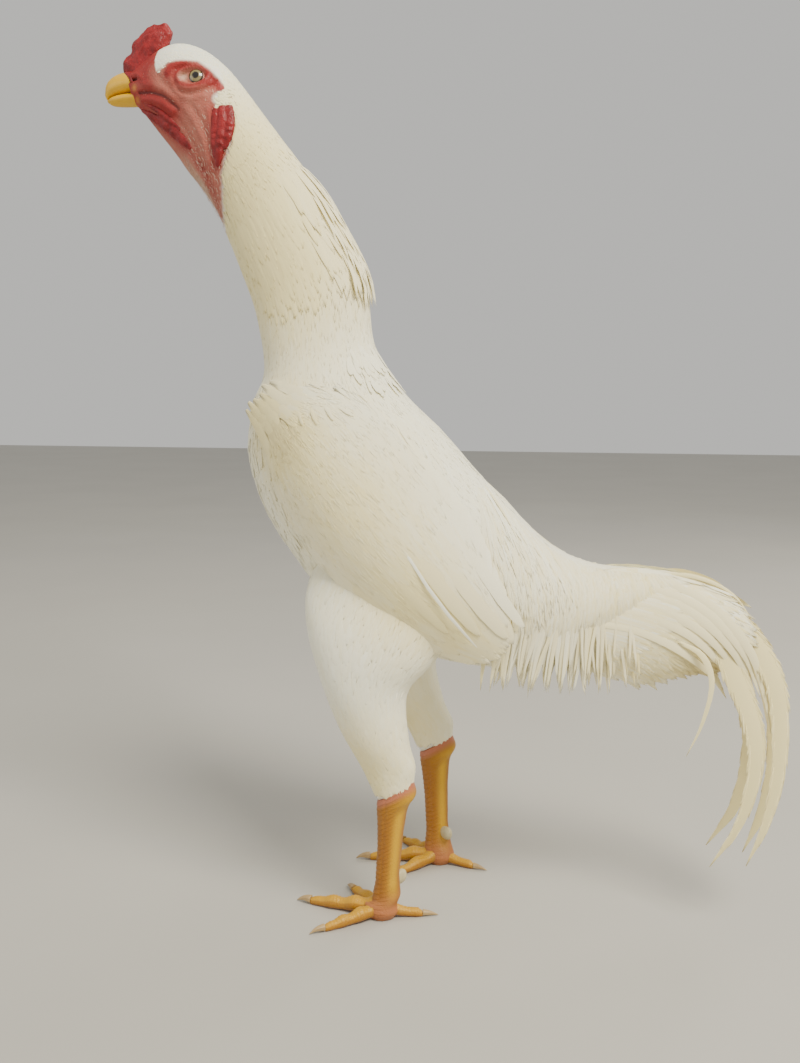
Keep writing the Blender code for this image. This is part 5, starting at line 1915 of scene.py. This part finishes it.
    def build(self, frame: dict) -> None:
        """Shank, toes, claws and spur.

        Args:
            frame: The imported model.
        """
        self.shank()
        self.spur()
        for which in self.toes:
            self.toe(which)
            self.claw(frame, which)


@lru_cache(maxsize=1)
def side_grid() -> tuple[Array, Array, Array]:
    """Places over the head and neck's right side, with their points."""
    u, a = np.meshgrid(np.linspace(0, 12, 481), np.linspace(0.2, math.pi - 0.2, 241), indexing="ij")
    return u, a, BIRD.point(u, a)


def side_place(x: float, z: float) -> tuple[float, float]:
    """The place on the bird's right side that has this x and z in side view.

    Args:
        x: Distance towards the tail.
        z: Height.

    Returns:
        The place along and round the bird.
    """
    u, a, points = side_grid()
    miss = np.hypot(points[..., 0] - x, points[..., 2] - z)
    best = np.unravel_index(np.argmin(miss), miss.shape)
    return float(u[best]), float(a[best])


@dataclass
class Wing:
    """A folded wing: a thin plate under its feathers, and rows of feathers that grow longer to the rear."""

    side: str
    first: float = -16.0
    last: float = 200.0

    def axes(self) -> tuple[Array, Array, Array]:
        """Where the wing starts in side view, and its directions along and up."""
        start = np.array(WING_START)
        ahead = unit(np.array(WING_END) - start)
        return start, ahead, np.array([-ahead[1], ahead[0]])

    def rows(self, along: Array) -> Array:
        """The wing's table at places along it."""
        table = np.array(WING_ROWS, float)
        return catmull(table, np.interp(along, table[:, 0], np.arange(len(table))))

    def surface(self, along: Array, across: Array, lift: Array) -> Array:
        """Points on the wing's outer surface, lifted.

        Args:
            along: Places along the wing.
            across: Places across it.
            lift: Heights over it.

        Returns:
            One point for each place.
        """
        start, ahead, up = self.axes()
        rows = self.rows(along)
        flat = start + ahead * np.asarray(along)[..., None] + up * np.asarray(across)[..., None]
        outer = rows[..., 3] - WING_ROUNDNESS * (across - rows[..., 4]) ** 2
        return np.stack([flat[..., 0], SIDES[self.side] * (outer + lift), flat[..., 1]], axis=-1)

    def out(self, along: Array, across: Array) -> Array:
        """Directions out of the wing's surface.

        Args:
            along: Places along the wing.
            across: Places across it.

        Returns:
            One unit vector for each place.
        """
        a = self.surface(along + 1, across, 0) - self.surface(along - 1, across, 0)
        b = self.surface(along, across + 1, 0) - self.surface(along, across - 1, 0)
        n = unit(np.cross(a, b))
        return n * np.sign(n[..., 1:2]) * SIDES[self.side]

    def plate(self) -> Piece:
        """The closed plate under the feathers."""
        steps, ribs = 40, 20
        share = np.linspace(0, 1, ribs + 1)
        along = np.linspace(WING_ROWS[0][0] + 4, WING_ROWS[-1][0] - 8, steps + 1)
        rows = self.rows(along)
        lower, upper = rows[:, 1:2] + 3, rows[:, 2:3] - 3
        across = lower + (upper - lower) * share[None, :]
        grid = np.repeat(along[:, None], ribs + 1, axis=1)
        rim = np.sin(math.pi * share)[None, :] ** 0.5
        outer = self.surface(grid, across, -2.4 - 1.6 * (1 - rim))
        inner = self.surface(grid, across, -4.0 - 1.6 * (1 - rim) - 7.0 * rim)
        loop = np.concatenate([outer, inner[:, ::-1]], axis=1)
        return closed_tube(f"wing_plate_{self.side}", loop, WHITE)

    def patch(self, along: Array, across: Array) -> Array:
        """Places on the unwrap."""
        patch = 0.02 + 0.96 * np.stack([(along + 20) / 290, (across + 60) / 135], axis=-1)
        return np.clip(patch, 0.01, 0.99)

    def strokes(
        self, roots: Array, tips: Array, half: Array, sunk: float, lift: Array, rng: Draws,
        shape: VaneShape,
    ) -> Strokes:
        """Lays wing feathers.

        Args:
            roots: Where they start, along and across the wing.
            tips: Where they end.
            half: Half widths.
            sunk: How deep the roots lie.
            lift: How high the tips lie.
            rng: Source of the small differences.
            shape: Outline.

        Returns:
            The feathers' paths.
        """
        shares = shape.shares
        way = roots[:, None] + (tips - roots)[:, None] * shares[None, :, None]
        way[..., 1] += np.sin(math.pi * shares)[None, :] * rng.normal(0, 0.8, len(roots))[:, None]
        arch = shares**0.7 - 0.35 * np.maximum(0.0, shares - 0.6) / 0.4
        height = -sunk + (sunk + lift[:, None]) * arch[None, :]
        path = self.surface(way[..., 0], way[..., 1], height)
        middle = path[:, len(shares) // 2]
        return Strokes(
            path=path,
            out=self.out(way[..., 0], way[..., 1]),
            half=half[:, None] * shape.widths[None, :],
            patch=self.patch(roots[:, 0], roots[:, 1]),
            tone=np.clip(rng.normal(0.3, 0.13, len(roots)), 0, 1),
            stain=np.clip(warmth_and_painted_shade(middle[:, 0], middle[:, 2]) + rng.normal(0, 0.04, len(roots)), 0, 1),
        )

    def span(self, along: Array) -> tuple[Array, Array]:
        """The wing's lower and upper edges at places along it."""
        table = np.array(WING_ROWS, float)
        return np.interp(along, table[:, 0], table[:, 1]), np.interp(along, table[:, 0], table[:, 2])

    def feathers(self) -> Piece:
        """Rows of feathers that follow the wing's outline, with fine barbs over them."""
        coat = Coat(f"coat_wing_{self.side}", cup=0.05)
        rng = np.random.default_rng(30 if self.side == "left" else 31)
        along = self.first
        while along < self.last:
            length = np.interp(along, (-16, 50, 130, 200), (30, 40, 62, 60))
            half = np.interp(along, (-16, 50, 130, 200), (4.6, 5.6, 6.6, 6.0))
            low, high = self.span(along)
            extra = np.interp(along, (-16, 20, 80, 130), (9.0, 9.0, 5.0, 0.0))
            count = max(6, int((high - low + extra) / (half * 0.85)))
            share = np.clip((np.arange(count) + rng.uniform(0.2, 0.8, count)) / count, 0.02, 0.98)
            root_along = along + rng.uniform(-4, 4, count)
            reach = length * rng.uniform(0.88, 1.1, count)
            tip_along = np.minimum(root_along + reach, 259.0 - rng.uniform(0, 5, count))
            low, high = self.span(np.maximum(root_along, 0.0))
            roots = np.stack([root_along, low + 1 + share * (high - low + extra)], axis=-1)
            low, high = self.span(tip_along)
            tips = np.stack([tip_along, low + 1 + share * (high - low - 2 + extra * 0.5)], axis=-1)
            lift = np.interp(along, (-16, 60, 200), (2.6, 2.2, 1.2)) + rng.normal(0, 0.12, count)
            half = half * rng.uniform(0.9, 1.1, count)
            coat.add(self.strokes(roots, tips, half, 1.0, lift, rng, VaneShape.CONTOUR))
            more = count * 6
            fine = rng.uniform(0, 1, (more, 1))
            pick = rng.integers(0, count, more)
            run = (tips - roots)[pick]
            begin = roots[pick] + run * 0.3 * fine + rng.normal(0, 2.0, (more, 2))
            begin[:, 0] = np.maximum(begin[:, 0], 8.0 + 6.0 * fine[:, 0])
            thin = rng.uniform(0.5, 1.0, more)
            coat.add(
                self.strokes(begin, begin + run * 0.42, thin, 0.2, lift[pick] + 0.1, rng, VaneShape.BARB)
            )
            along += np.interp(along, (-16, 50, 200), (5.5, 6.5, 9.0))
        coat.add(self.marked(rng))
        self.bridge(coat, rng)
        return coat.hang(f"wing_{self.side}")

    def bridge(self, coat: Coat, rng: Draws) -> None:
        """Adds the feathers of shoulder and back that close the gap between body and wing.

        Args:
            coat: The wing's coat.
            rng: Source of the small differences.
        """
        u, a = np.meshgrid(np.linspace(11.8, 20.5, 175), np.linspace(0.15, 1.7, 63), indexing="ij")
        a = a * SIDES[self.side]
        body, normals = BIRD.point(u, a).reshape(-1, 3), BIRD.normal(u, a).reshape(-1, 3)
        shape, count = VaneShape.HACKLE, 84
        bulge = np.sin(math.pi * shape.shares**0.8)[None, :, None]
        for inset, over in ((2.0, 10.0), (6.0, 8.0), (12.0, 6.0), (18.0, 5.0)):
            along = np.linspace(0, 216, count) + rng.uniform(-2, 2, count)
            edge = self.span(along)[1] + over
            target = self.surface(along, edge, 0.0)
            near = np.argmin(np.linalg.norm(body[None] - target[:, None], axis=-1), axis=1)
            tip_along = np.minimum(along + rng.uniform(24, 46, count), 250 - rng.uniform(0, 12, count))
            tip_edge = self.span(tip_along)[1] - inset - rng.uniform(-4, 4, count)
            tips = self.surface(tip_along, tip_edge, np.interp(tip_along, (0, 60, 200), (1.5, 1.2, 0.5)))
            roots = body[near] - normals[near] * 1.5
            face = unit(normals[near] + self.out(tip_along, tip_edge))
            path = roots[:, None] + (tips - roots)[:, None] * shape.shares[None, :, None]
            path = path + face[:, None] * (2.2 * bulge)
            coat.add(
                Strokes(
                    path=path, out=np.repeat(face[:, None], len(shape.shares), axis=1),
                    half=rng.uniform(2.4, 3.8, count)[:, None] * shape.widths[None, :],
                    patch=self.patch(along, edge), tone=np.clip(rng.normal(0.3, 0.13, count), 0, 1),
                    stain=warmth_and_painted_shade(path[:, 3, 0], path[:, 3, 2]),
                )
            )

    def flat(self, x: float, z: float) -> tuple[float, float]:
        """Wing coordinates of a place in side view.

        Args:
            x: Distance towards the tail.
            z: Height.

        Returns:
            Places along and across the wing.
        """
        start, ahead, up = self.axes()
        off = np.array([x, z]) - start
        return float(off @ ahead), float(off @ up)

    def marked(self, rng: Draws) -> Strokes:
        """Edges of flight feathers, the folds over the shoulder, and last one bright curved shaft.

        Args:
            rng: Source of the small differences.

        Returns:
            The feathers' paths.
        """
        # Root and tip in side view, half width and lift.
        lines = (
            ((34, 306), (88, 238), 5.4, 3.4), ((8, 320), (68, 240), 5.4, 3.3),
            ((48, 320), (100, 246), 4.6, 3.2), ((-12, 300), (44, 241), 4.6, 2.6),
            ((-58, 296), (10, 240), 4.0, 2.6), ((-72, 411), (-65, 396), 1.3, 4.2),
            ((-63, 413), (-54, 397), 1.3, 4.4), ((-53, 414), (-42, 400), 1.4, 4.4),
            ((-45, 415), (-28, 403), 1.4, 4.2), ((5, 317), (66, 231), 1.3, 7.0),
        )
        roots = np.array([self.flat(*root) for root, _, _, _ in lines])
        tips = np.array([self.flat(*tip) for _, tip, _, _ in lines])
        half = np.array([width for _, _, width, _ in lines])
        lift = np.array([height for _, _, _, height in lines])
        made = self.strokes(roots, tips, half, 0.6, lift, rng, VaneShape.QUILL)
        made.tone[-1], made.stain[-1] = 0.0, 0.0
        made.path[-1] += np.outer(np.sin(math.pi * VaneShape.QUILL.shares), (-3.0, 0.0, -2.2))
        return made

    def build(self) -> None:
        """Plate and feathers."""
        ride(self.plate(), "plumage")
        self.feathers()


@dataclass
class Tail:
    """The tail: a full body of coverts, and sickles that arch over and hang."""

    # Along the tail: x, top z, low z, half width.
    body: tuple = (
        (110, 300, 212, 41), (135, 291, 200, 37), (160, 286, 194, 33), (185, 283, 190, 29),
        (210, 279, 194, 25), (235, 271, 199, 21), (255, 261, 204, 18), (272, 246, 200, 14),
        (285, 232, 190, 11),
    )
    # From the top edge to the lower one: a feather's root and its tip.
    fan: tuple = (
        (158, 282, 262, 258), (156, 274, 270, 240), (150, 262, 268, 220), (144, 250, 254, 207),
        (136, 240, 226, 203), (126, 230, 196, 192), (112, 222, 168, 198),
    )
    coverts: int = 540

    def section(self, x: Array) -> tuple[Array, Array, Array]:
        """Top, low edge and half width of the tail's body.

        Args:
            x: Places towards the tail.

        Returns:
            One value of each for each place.
        """
        table = np.array(self.body, float)
        top, low, half = [np.interp(x, table[:, 0], table[:, k]) for k in (1, 2, 3)]
        return top, low, half

    def outer(self, x: Array, z: Array) -> Array:
        """Half width of the tail's body at places in side view.

        Args:
            x: Places towards the tail.
            z: Heights.

        Returns:
            One half width for each place.
        """
        top, low, half = self.section(x)
        off = (z - (top + low) / 2) / ((top - low) / 2)
        return half * np.sqrt(np.maximum(0.12, 1 - off**2))

    def laid(
        self, share: Array, start: Array, stop: Array, depth: Array, half: Array, sign: float,
        shape: VaneShape, rng: Draws, bend: float = 0.07,
    ) -> Strokes:
        """Feathers that follow the fan's lines.

        Args:
            share: From the top line (0) to the lowest (1).
            start: Share of the line where each root is.
            stop: Share of it where each tip is.
            depth: How far each lies under the tail's outer surface.
            half: Half widths.
            sign: Side of the bird.
            shape: Outline.
            rng: Source of the small differences.
            bend: Bow of the line against its length.

        Returns:
            The feathers' paths.
        """
        table = np.array(self.fan, float)
        at = share * (len(table) - 1)
        line = np.stack([np.interp(at, np.arange(len(table)), table[:, k]) for k in range(4)], axis=-1)
        root, tip = line[:, :2], line[:, 2:] + rng.normal(0, 2.0, (len(share), 2))
        t = start[:, None] + (stop - start)[:, None] * shape.shares[None, :]
        run = tip - root
        up = np.stack([-run[:, 1], run[:, 0]], axis=-1)
        flat = root[:, None] + run[:, None] * t[..., None] + up[:, None] * (bend * 4 * t * (1 - t))[..., None]
        rise = shape.shares[None, :] ** 0.7 - 0.25 * np.maximum(0.0, shape.shares[None, :] - 0.7) / 0.3
        y = self.outer(flat[..., 0], flat[..., 1]) - depth[:, None] - 1.2 + 1.2 * rise
        path = np.stack([flat[..., 0], sign * np.maximum(y, 1.0), flat[..., 1]], axis=-1)
        top, low, _ = self.section(flat[..., 0])
        lean = np.clip((flat[..., 1] - (top + low) / 2) / ((top - low) / 2), -0.9, 0.9) * 0.9
        out = unit(np.stack([np.full(lean.shape, 0.15), np.full(lean.shape, sign), lean], axis=-1))
        along = 0.05 + 0.9 * (path[:, 0, 0] - 100) / 160
        patch = np.stack([along, 0.5 + sign * (0.02 + 0.45 * share)], axis=-1)
        spot = path[:, path.shape[1] // 2]
        return Strokes(
            path=path, out=out, half=half[:, None] * shape.widths[None, :], patch=np.clip(patch, 0.01, 0.99),
            tone=np.clip(rng.normal(0.35, 0.18, len(share)), 0, 1),
            stain=np.clip(warmth_and_painted_shade(spot[:, 0], spot[:, 2]) + rng.normal(0.04, 0.12, len(share)), 0, 0.9),
        )

    def full(self) -> Piece:
        """Main feathers and coverts of both sides."""
        coat, quills, fine = Coat("coat_tail", cup=0.08), 12, 1100
        for seed, sign in enumerate(SIDES.values()):
            rng = np.random.default_rng(40 + seed)
            coat.add(self.laid(
                np.linspace(0.02, 0.98, quills), *[np.full(quills, v) for v in (0.1, 1.0, 5.0, 8.0)], sign,
                VaneShape.QUILL, rng,
            ))
            n = self.coverts // 3
            for low, high, width, under in (
                (0.35, 1.0, 6.4, 1.0), (0.12, 0.8, 5.6, 0.55), (0.0, 0.55, 5.0, 0.1),
            ):
                share = np.clip((np.arange(n) + rng.uniform(0, 1, n)) / n, 0.0, 1.0)
                start = low + rng.uniform(-0.06, 0.12, n)
                stop = np.minimum(high + rng.uniform(-0.14, 0.05, n), 1.03)
                depth, half = np.full(n, under), width * rng.uniform(0.8, 1.1, n)
                coat.add(self.laid(share, start, stop, depth, half, sign, VaneShape.HACKLE, rng))
            start = rng.uniform(0.0, 0.75, fine)
            share, stop = rng.uniform(0, 1, fine), np.minimum(start + rng.uniform(0.15, 0.3, fine), 1.06)
            depth, half = np.full(fine, 0.35), rng.uniform(0.8, 1.5, fine)
            coat.add(self.laid(share, start, stop, depth, half, sign, VaneShape.BARB, rng))
        return coat.hang("tail")

    def along_curve(
        self, outline: tuple, count: int, root_y: float, tip_y: float, sign: float,
    ) -> tuple[Array, Array]:
        """Lays a line along a curve in side view.

        Args:
            outline: The curve.
            count: Number of points.
            root_y: Distance of its root from the bird's middle.
            tip_y: Distance of its tip.
            sign: Side of the bird.

        Returns:
            Points and outward directions.
        """
        shares = np.linspace(0, 1, count)
        flat = catmull(np.array(outline, float), (len(outline) - 1) * shares)
        ahead = unit(np.gradient(flat, axis=0))
        path = np.stack([flat[:, 0], sign * (root_y + (tip_y - root_y) * shares), flat[:, 1]], axis=-1)
        out = unit(np.stack([-ahead[:, 1] * 0.35, np.full(count, sign), ahead[:, 0] * 0.35], axis=-1))
        return path, out

    def single(
        self, coat: Coat, way: tuple[Array, Array], half: Array, spot: tuple[float, float], tone: float,
        stain: float,
    ) -> None:
        """Adds one long feather to a coat.

        Args:
            coat: The coat.
            way: Its points and outward directions.
            half: Half widths along it.
            spot: Its place on the unwrap.
            tone: Share of the darker white.
            stain: Share of the warm colour, which on the sickles is partly painted shade.
        """
        path, out = way
        marks = [np.array([value]) for value in (spot, tone, stain)]
        coat.add(Strokes(path[None], out[None], half[None], *marks))

    def drawn_out(self, half: float, count: int, root: float, power: float, tip: float) -> Array:
        """Half widths of a long feather, narrow at the root and drawn out to a point.

        Args:
            half: Greatest half width.
            count: Number of points.
            root: Share of it at the root.
            power: How late the feather narrows.
            tip: Half width that stays at the tip.

        Returns:
            One half width for each point.
        """
        shares = np.linspace(0, 1, count)
        return half * np.minimum(1.0, root + 2.0 * shares) * (1 - shares**power) + tip

    def sickle(
        self, coat: Coat, outline: tuple, root_y: float, tip_y: float, sign: float, rng: Draws,
    ) -> None:
        """Adds one long sickle feather, with loose barbs along its edges.

        Args:
            coat: The coat.
            outline: Its curve in side view.
            root_y: Distance of its root from the bird's middle.
            tip_y: Distance of its tip.
            sign: Side of the bird.
            rng: Source of the small differences.
        """
        count, loose, half = 34, 150, 9.0
        path, out = self.along_curve(outline, count, root_y, tip_y, sign)
        shares = np.linspace(0, 1, count)
        wide = half * np.minimum(1.0, 0.45 + 2.2 * shares) * (1 - shares**3.2) + 0.3
        spot = (0.5 + 0.2 * sign, 0.3 + root_y / 60)
        # Stain 0.55 turns the sickle and its loose barbs towards tan: a cream colour with painted shade, as
        # the sickles hang in shade.
        self.single(coat, (path, out), wide, spot, 0.15, 0.55)
        place = rng.uniform(3, count - 5, loose)
        edge = rng.choice([-1.0, 1.0], loose)
        beside = unit(np.cross(out, np.gradient(path, axis=0)))
        reach = rng.uniform(1.2, 2.6, loose)
        barb = VaneShape.BARB
        steps = place[:, None] + barb.shares[None, :] * reach[:, None]
        base, side, face = catmull(path, steps), catmull(beside, steps), catmull(out, steps)
        width = np.interp(steps, np.arange(count), wide)
        over = width * (0.72 + barb.shares[None, :] * rng.uniform(0.22, 0.5, loose)[:, None])
        sunk = 0.7 * coat.cup * over
        coat.add(
            Strokes(
                path=base + side * (edge[:, None] * over)[..., None] - face * sunk[..., None],
                out=face, half=rng.uniform(0.5, 0.9, loose)[:, None] * barb.widths[None, :],
                patch=np.tile(spot, (loose, 1)), tone=rng.uniform(0, 0.6, loose),
                stain=rng.uniform(0.4, 0.7, loose),
            )
        )

    def sickles(self) -> Piece:
        """Two long sickles on each side."""
        coat = Coat("sickles", cup=0.16, thickness=0.8)
        rng = np.random.default_rng(44)
        for sign in SIDES.values():
            self.sickle(coat, SICKLE_OUTER, 8.5, 13.0, sign, rng)
            self.sickle(coat, SICKLE_INNER, 14.0, 20.0, sign, rng)
        names = [f"sickle_{s}_{w}_{n}" for s in SIDES for w in ("inner", "outer") for n in (1, 2)]
        return coat.hang(*names)

    def wisps(self) -> Piece:
        """A thin feather that hangs under the tail, and loose ends over it."""
        coat = Coat("wisps", cup=0.2, thickness=0.4)
        flow = (
            ((150, 280), (198, 275), (238, 258), (266, 228), (280, 192), (286, 160)),
            ((145, 268), (194, 265), (232, 249), (260, 219), (272, 185), (277, 152)),
            ((140, 257), (186, 253), (224, 237), (250, 209), (262, 178)),
            ((138, 247), (182, 242), (216, 226), (240, 205), (252, 186)),
            ((148, 274), (196, 269), (236, 253), (263, 223), (277, 188)),
            ((142, 262), (190, 259), (228, 243), (255, 214), (267, 181)),
        )
        for line in flow:
            for sign in SIDES.values():
                path, out = self.along_curve(line, 20, 0.0, 0.0, sign)
                shares = np.linspace(0, 1, 20)
                over = self.outer(path[:, 0], path[:, 2])
                over = over + np.interp(shares, (0, 0.1, 0.5, 1), (-2.5, -0.3, 0.2, 0.0))
                path[:, 1] = sign * np.maximum(over, 11.0)
                wide = self.drawn_out(4.6, 20, 0.4, 2.6, 0.2)
                self.single(coat, (path, out), wide, (0.5 + 0.3 * sign, 0.05 + line[0][1] / 400), 0.3, 0.35)
        # Curve in side view, the root's and tip's distance from the middle, half width and side.
        lines = (
            (((214, 232), (232, 222), (240, 200), (234, 168), (223, 141)), 24.0, 22.0, 2.6, -1.0),
            (((196, 280), (222, 280), (246, 272), (262, 259)), 5.0, 4.0, 1.8, -1.0),
            (((206, 280), (232, 277), (254, 266), (268, 249)), 3.0, 3.0, 2.0, -1.0),
            (((190, 281), (216, 282), (240, 275), (256, 263)), 6.0, 8.0, 1.6, 1.0),
            (((244, 262), (266, 243), (280, 218), (287, 192)), 10.0, 8.0, 2.2, -1.0),
            (((244, 262), (266, 243), (279, 218), (285, 190)), 10.0, 8.0, 2.2, 1.0),
        )
        for outline, root_y, tip_y, half, sign in lines:
            way = self.along_curve(outline, 16, root_y, tip_y, sign)
            wide = self.drawn_out(half, 16, 0.4, 2.4, 0.15)
            self.single(coat, way, wide, (0.5 + 0.3 * sign, 0.2 + root_y / 60), 0.3, 0.45)
        return coat.hang()

    def build(self) -> None:
        """Body of the tail, sickles and wisps."""
        self.full()
        self.sickles()
        self.wisps()


@dataclass
class Studio:
    """Pale floor, soft light and the camera at the photo's angle."""

    focal: float = 1050.0
    frame_height: float = 1063.0
    sensor: float = 36.0
    height: float = 0.4255
    back: float = 0.8318
    beside: float = 0.1687
    forward: tuple[float, float] = (-0.2079, 0.9781)
    pitch_run: float = 146.0
    patch_mm: float = 333.333

    def camera(self) -> Piece:
        """The camera, level with the bird's back and looking slightly down."""
        data = bpy.data.cameras.new("camera")
        data.sensor_width = self.sensor
        data.lens = self.sensor * self.focal / self.frame_height
        made = new_object("camera", data)
        pitch = math.atan(self.pitch_run / self.focal)
        ahead = (self.forward[0] * math.cos(pitch), self.forward[1] * math.cos(pitch), -math.sin(pitch))
        made.location = (self.beside + PLACE.shift, -self.back, self.height)
        made.rotation_mode = "QUATERNION"
        made.rotation_quaternion = Vector(ahead).to_track_quat("-Z", "Y")
        bpy.context.scene.camera = made
        return made

    def floor(self) -> Piece:
        """A wide floor of matt paint with faint cloudy patches."""
        bpy.ops.object.select_all(action="DESELECT")
        bpy.ops.mesh.primitive_plane_add(size=12.0, location=(0.0, 0.0, 0.0))
        made = bpy.context.active_object
        made.name = "floor"
        material, tree = blank_material("floor_paint")
        coords = add_node(tree, "TexCoord", {}, {})
        clouds = add_node(
            tree, "TexNoise", {"Scale": 1000 / self.patch_mm, "Detail": 4.0},
            {"Vector": coords.outputs["Object"]},
        )
        colour = add_node(
            tree, "Mix", {"data_type": "RGBA", 6: linear("#B9B6AE"), 7: linear("#AFACA4")},
            {0: clouds.outputs["Fac"]},
        )
        made.data.materials.append(finished(material, {"Base Color": colour.outputs[2]}, {"Roughness": 0.8}))
        return made

    def light(self, name: str, place: tuple, size: float, power: float, colour: str) -> None:
        """Adds a square soft light that faces the bird's middle.

        Args:
            name: Its name.
            place: Where it stands, m.
            size: Its side, m.
            power: Its power, W.
            colour: Its sRGB hex value.
        """
        data = bpy.data.lights.new(name, "AREA")
        data.shape = "SQUARE"
        data.size = size
        data.energy = power
        data.color = linear(colour)[:3]
        made = new_object(name, data)
        made.location = place
        made.rotation_mode = "QUATERNION"
        made.rotation_quaternion = (Vector((0.0, 0.0, 0.35)) - Vector(place)).to_track_quat("-Z", "Y")

    def build(self) -> None:
        """Camera, floor, lights and the pale surroundings."""
        self.camera()
        self.floor()
        self.light("key", (1.3, -1.2, 2.4), 1.2, 115.0, "#FFF9EA")
        self.light("fill", (-1.8, -1.2, 0.9), 1.6, 9.0, "#FAF8F2")
        self.light("rim", (1.2, 1.4, 1.5), 1.0, 16.0, "#FFF8EC")
        world = bpy.data.worlds.new("surroundings")
        world.use_nodes = True
        back = world.node_tree.nodes["Background"]
        back.inputs["Color"].default_value = linear("#D9D8D4")
        back.inputs["Strength"].default_value = 0.9
        bpy.context.scene.world = world


def main() -> None:
    """Builds the pieces in order; most of them log their size."""
    logging.basicConfig(level=logging.INFO, format="%(message)s")
    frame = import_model()
    PLACE.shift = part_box("beak_upper")[0].x - BEAK_TIP_X * MM
    Studio().build()
    Skin().build()
    Head().build()
    BodyCoat().build()
    for side in SIDES:
        Wing(side).build()
        Leg(side).build(frame)
    Tail().build()


if __name__ == "__main__":
    main()
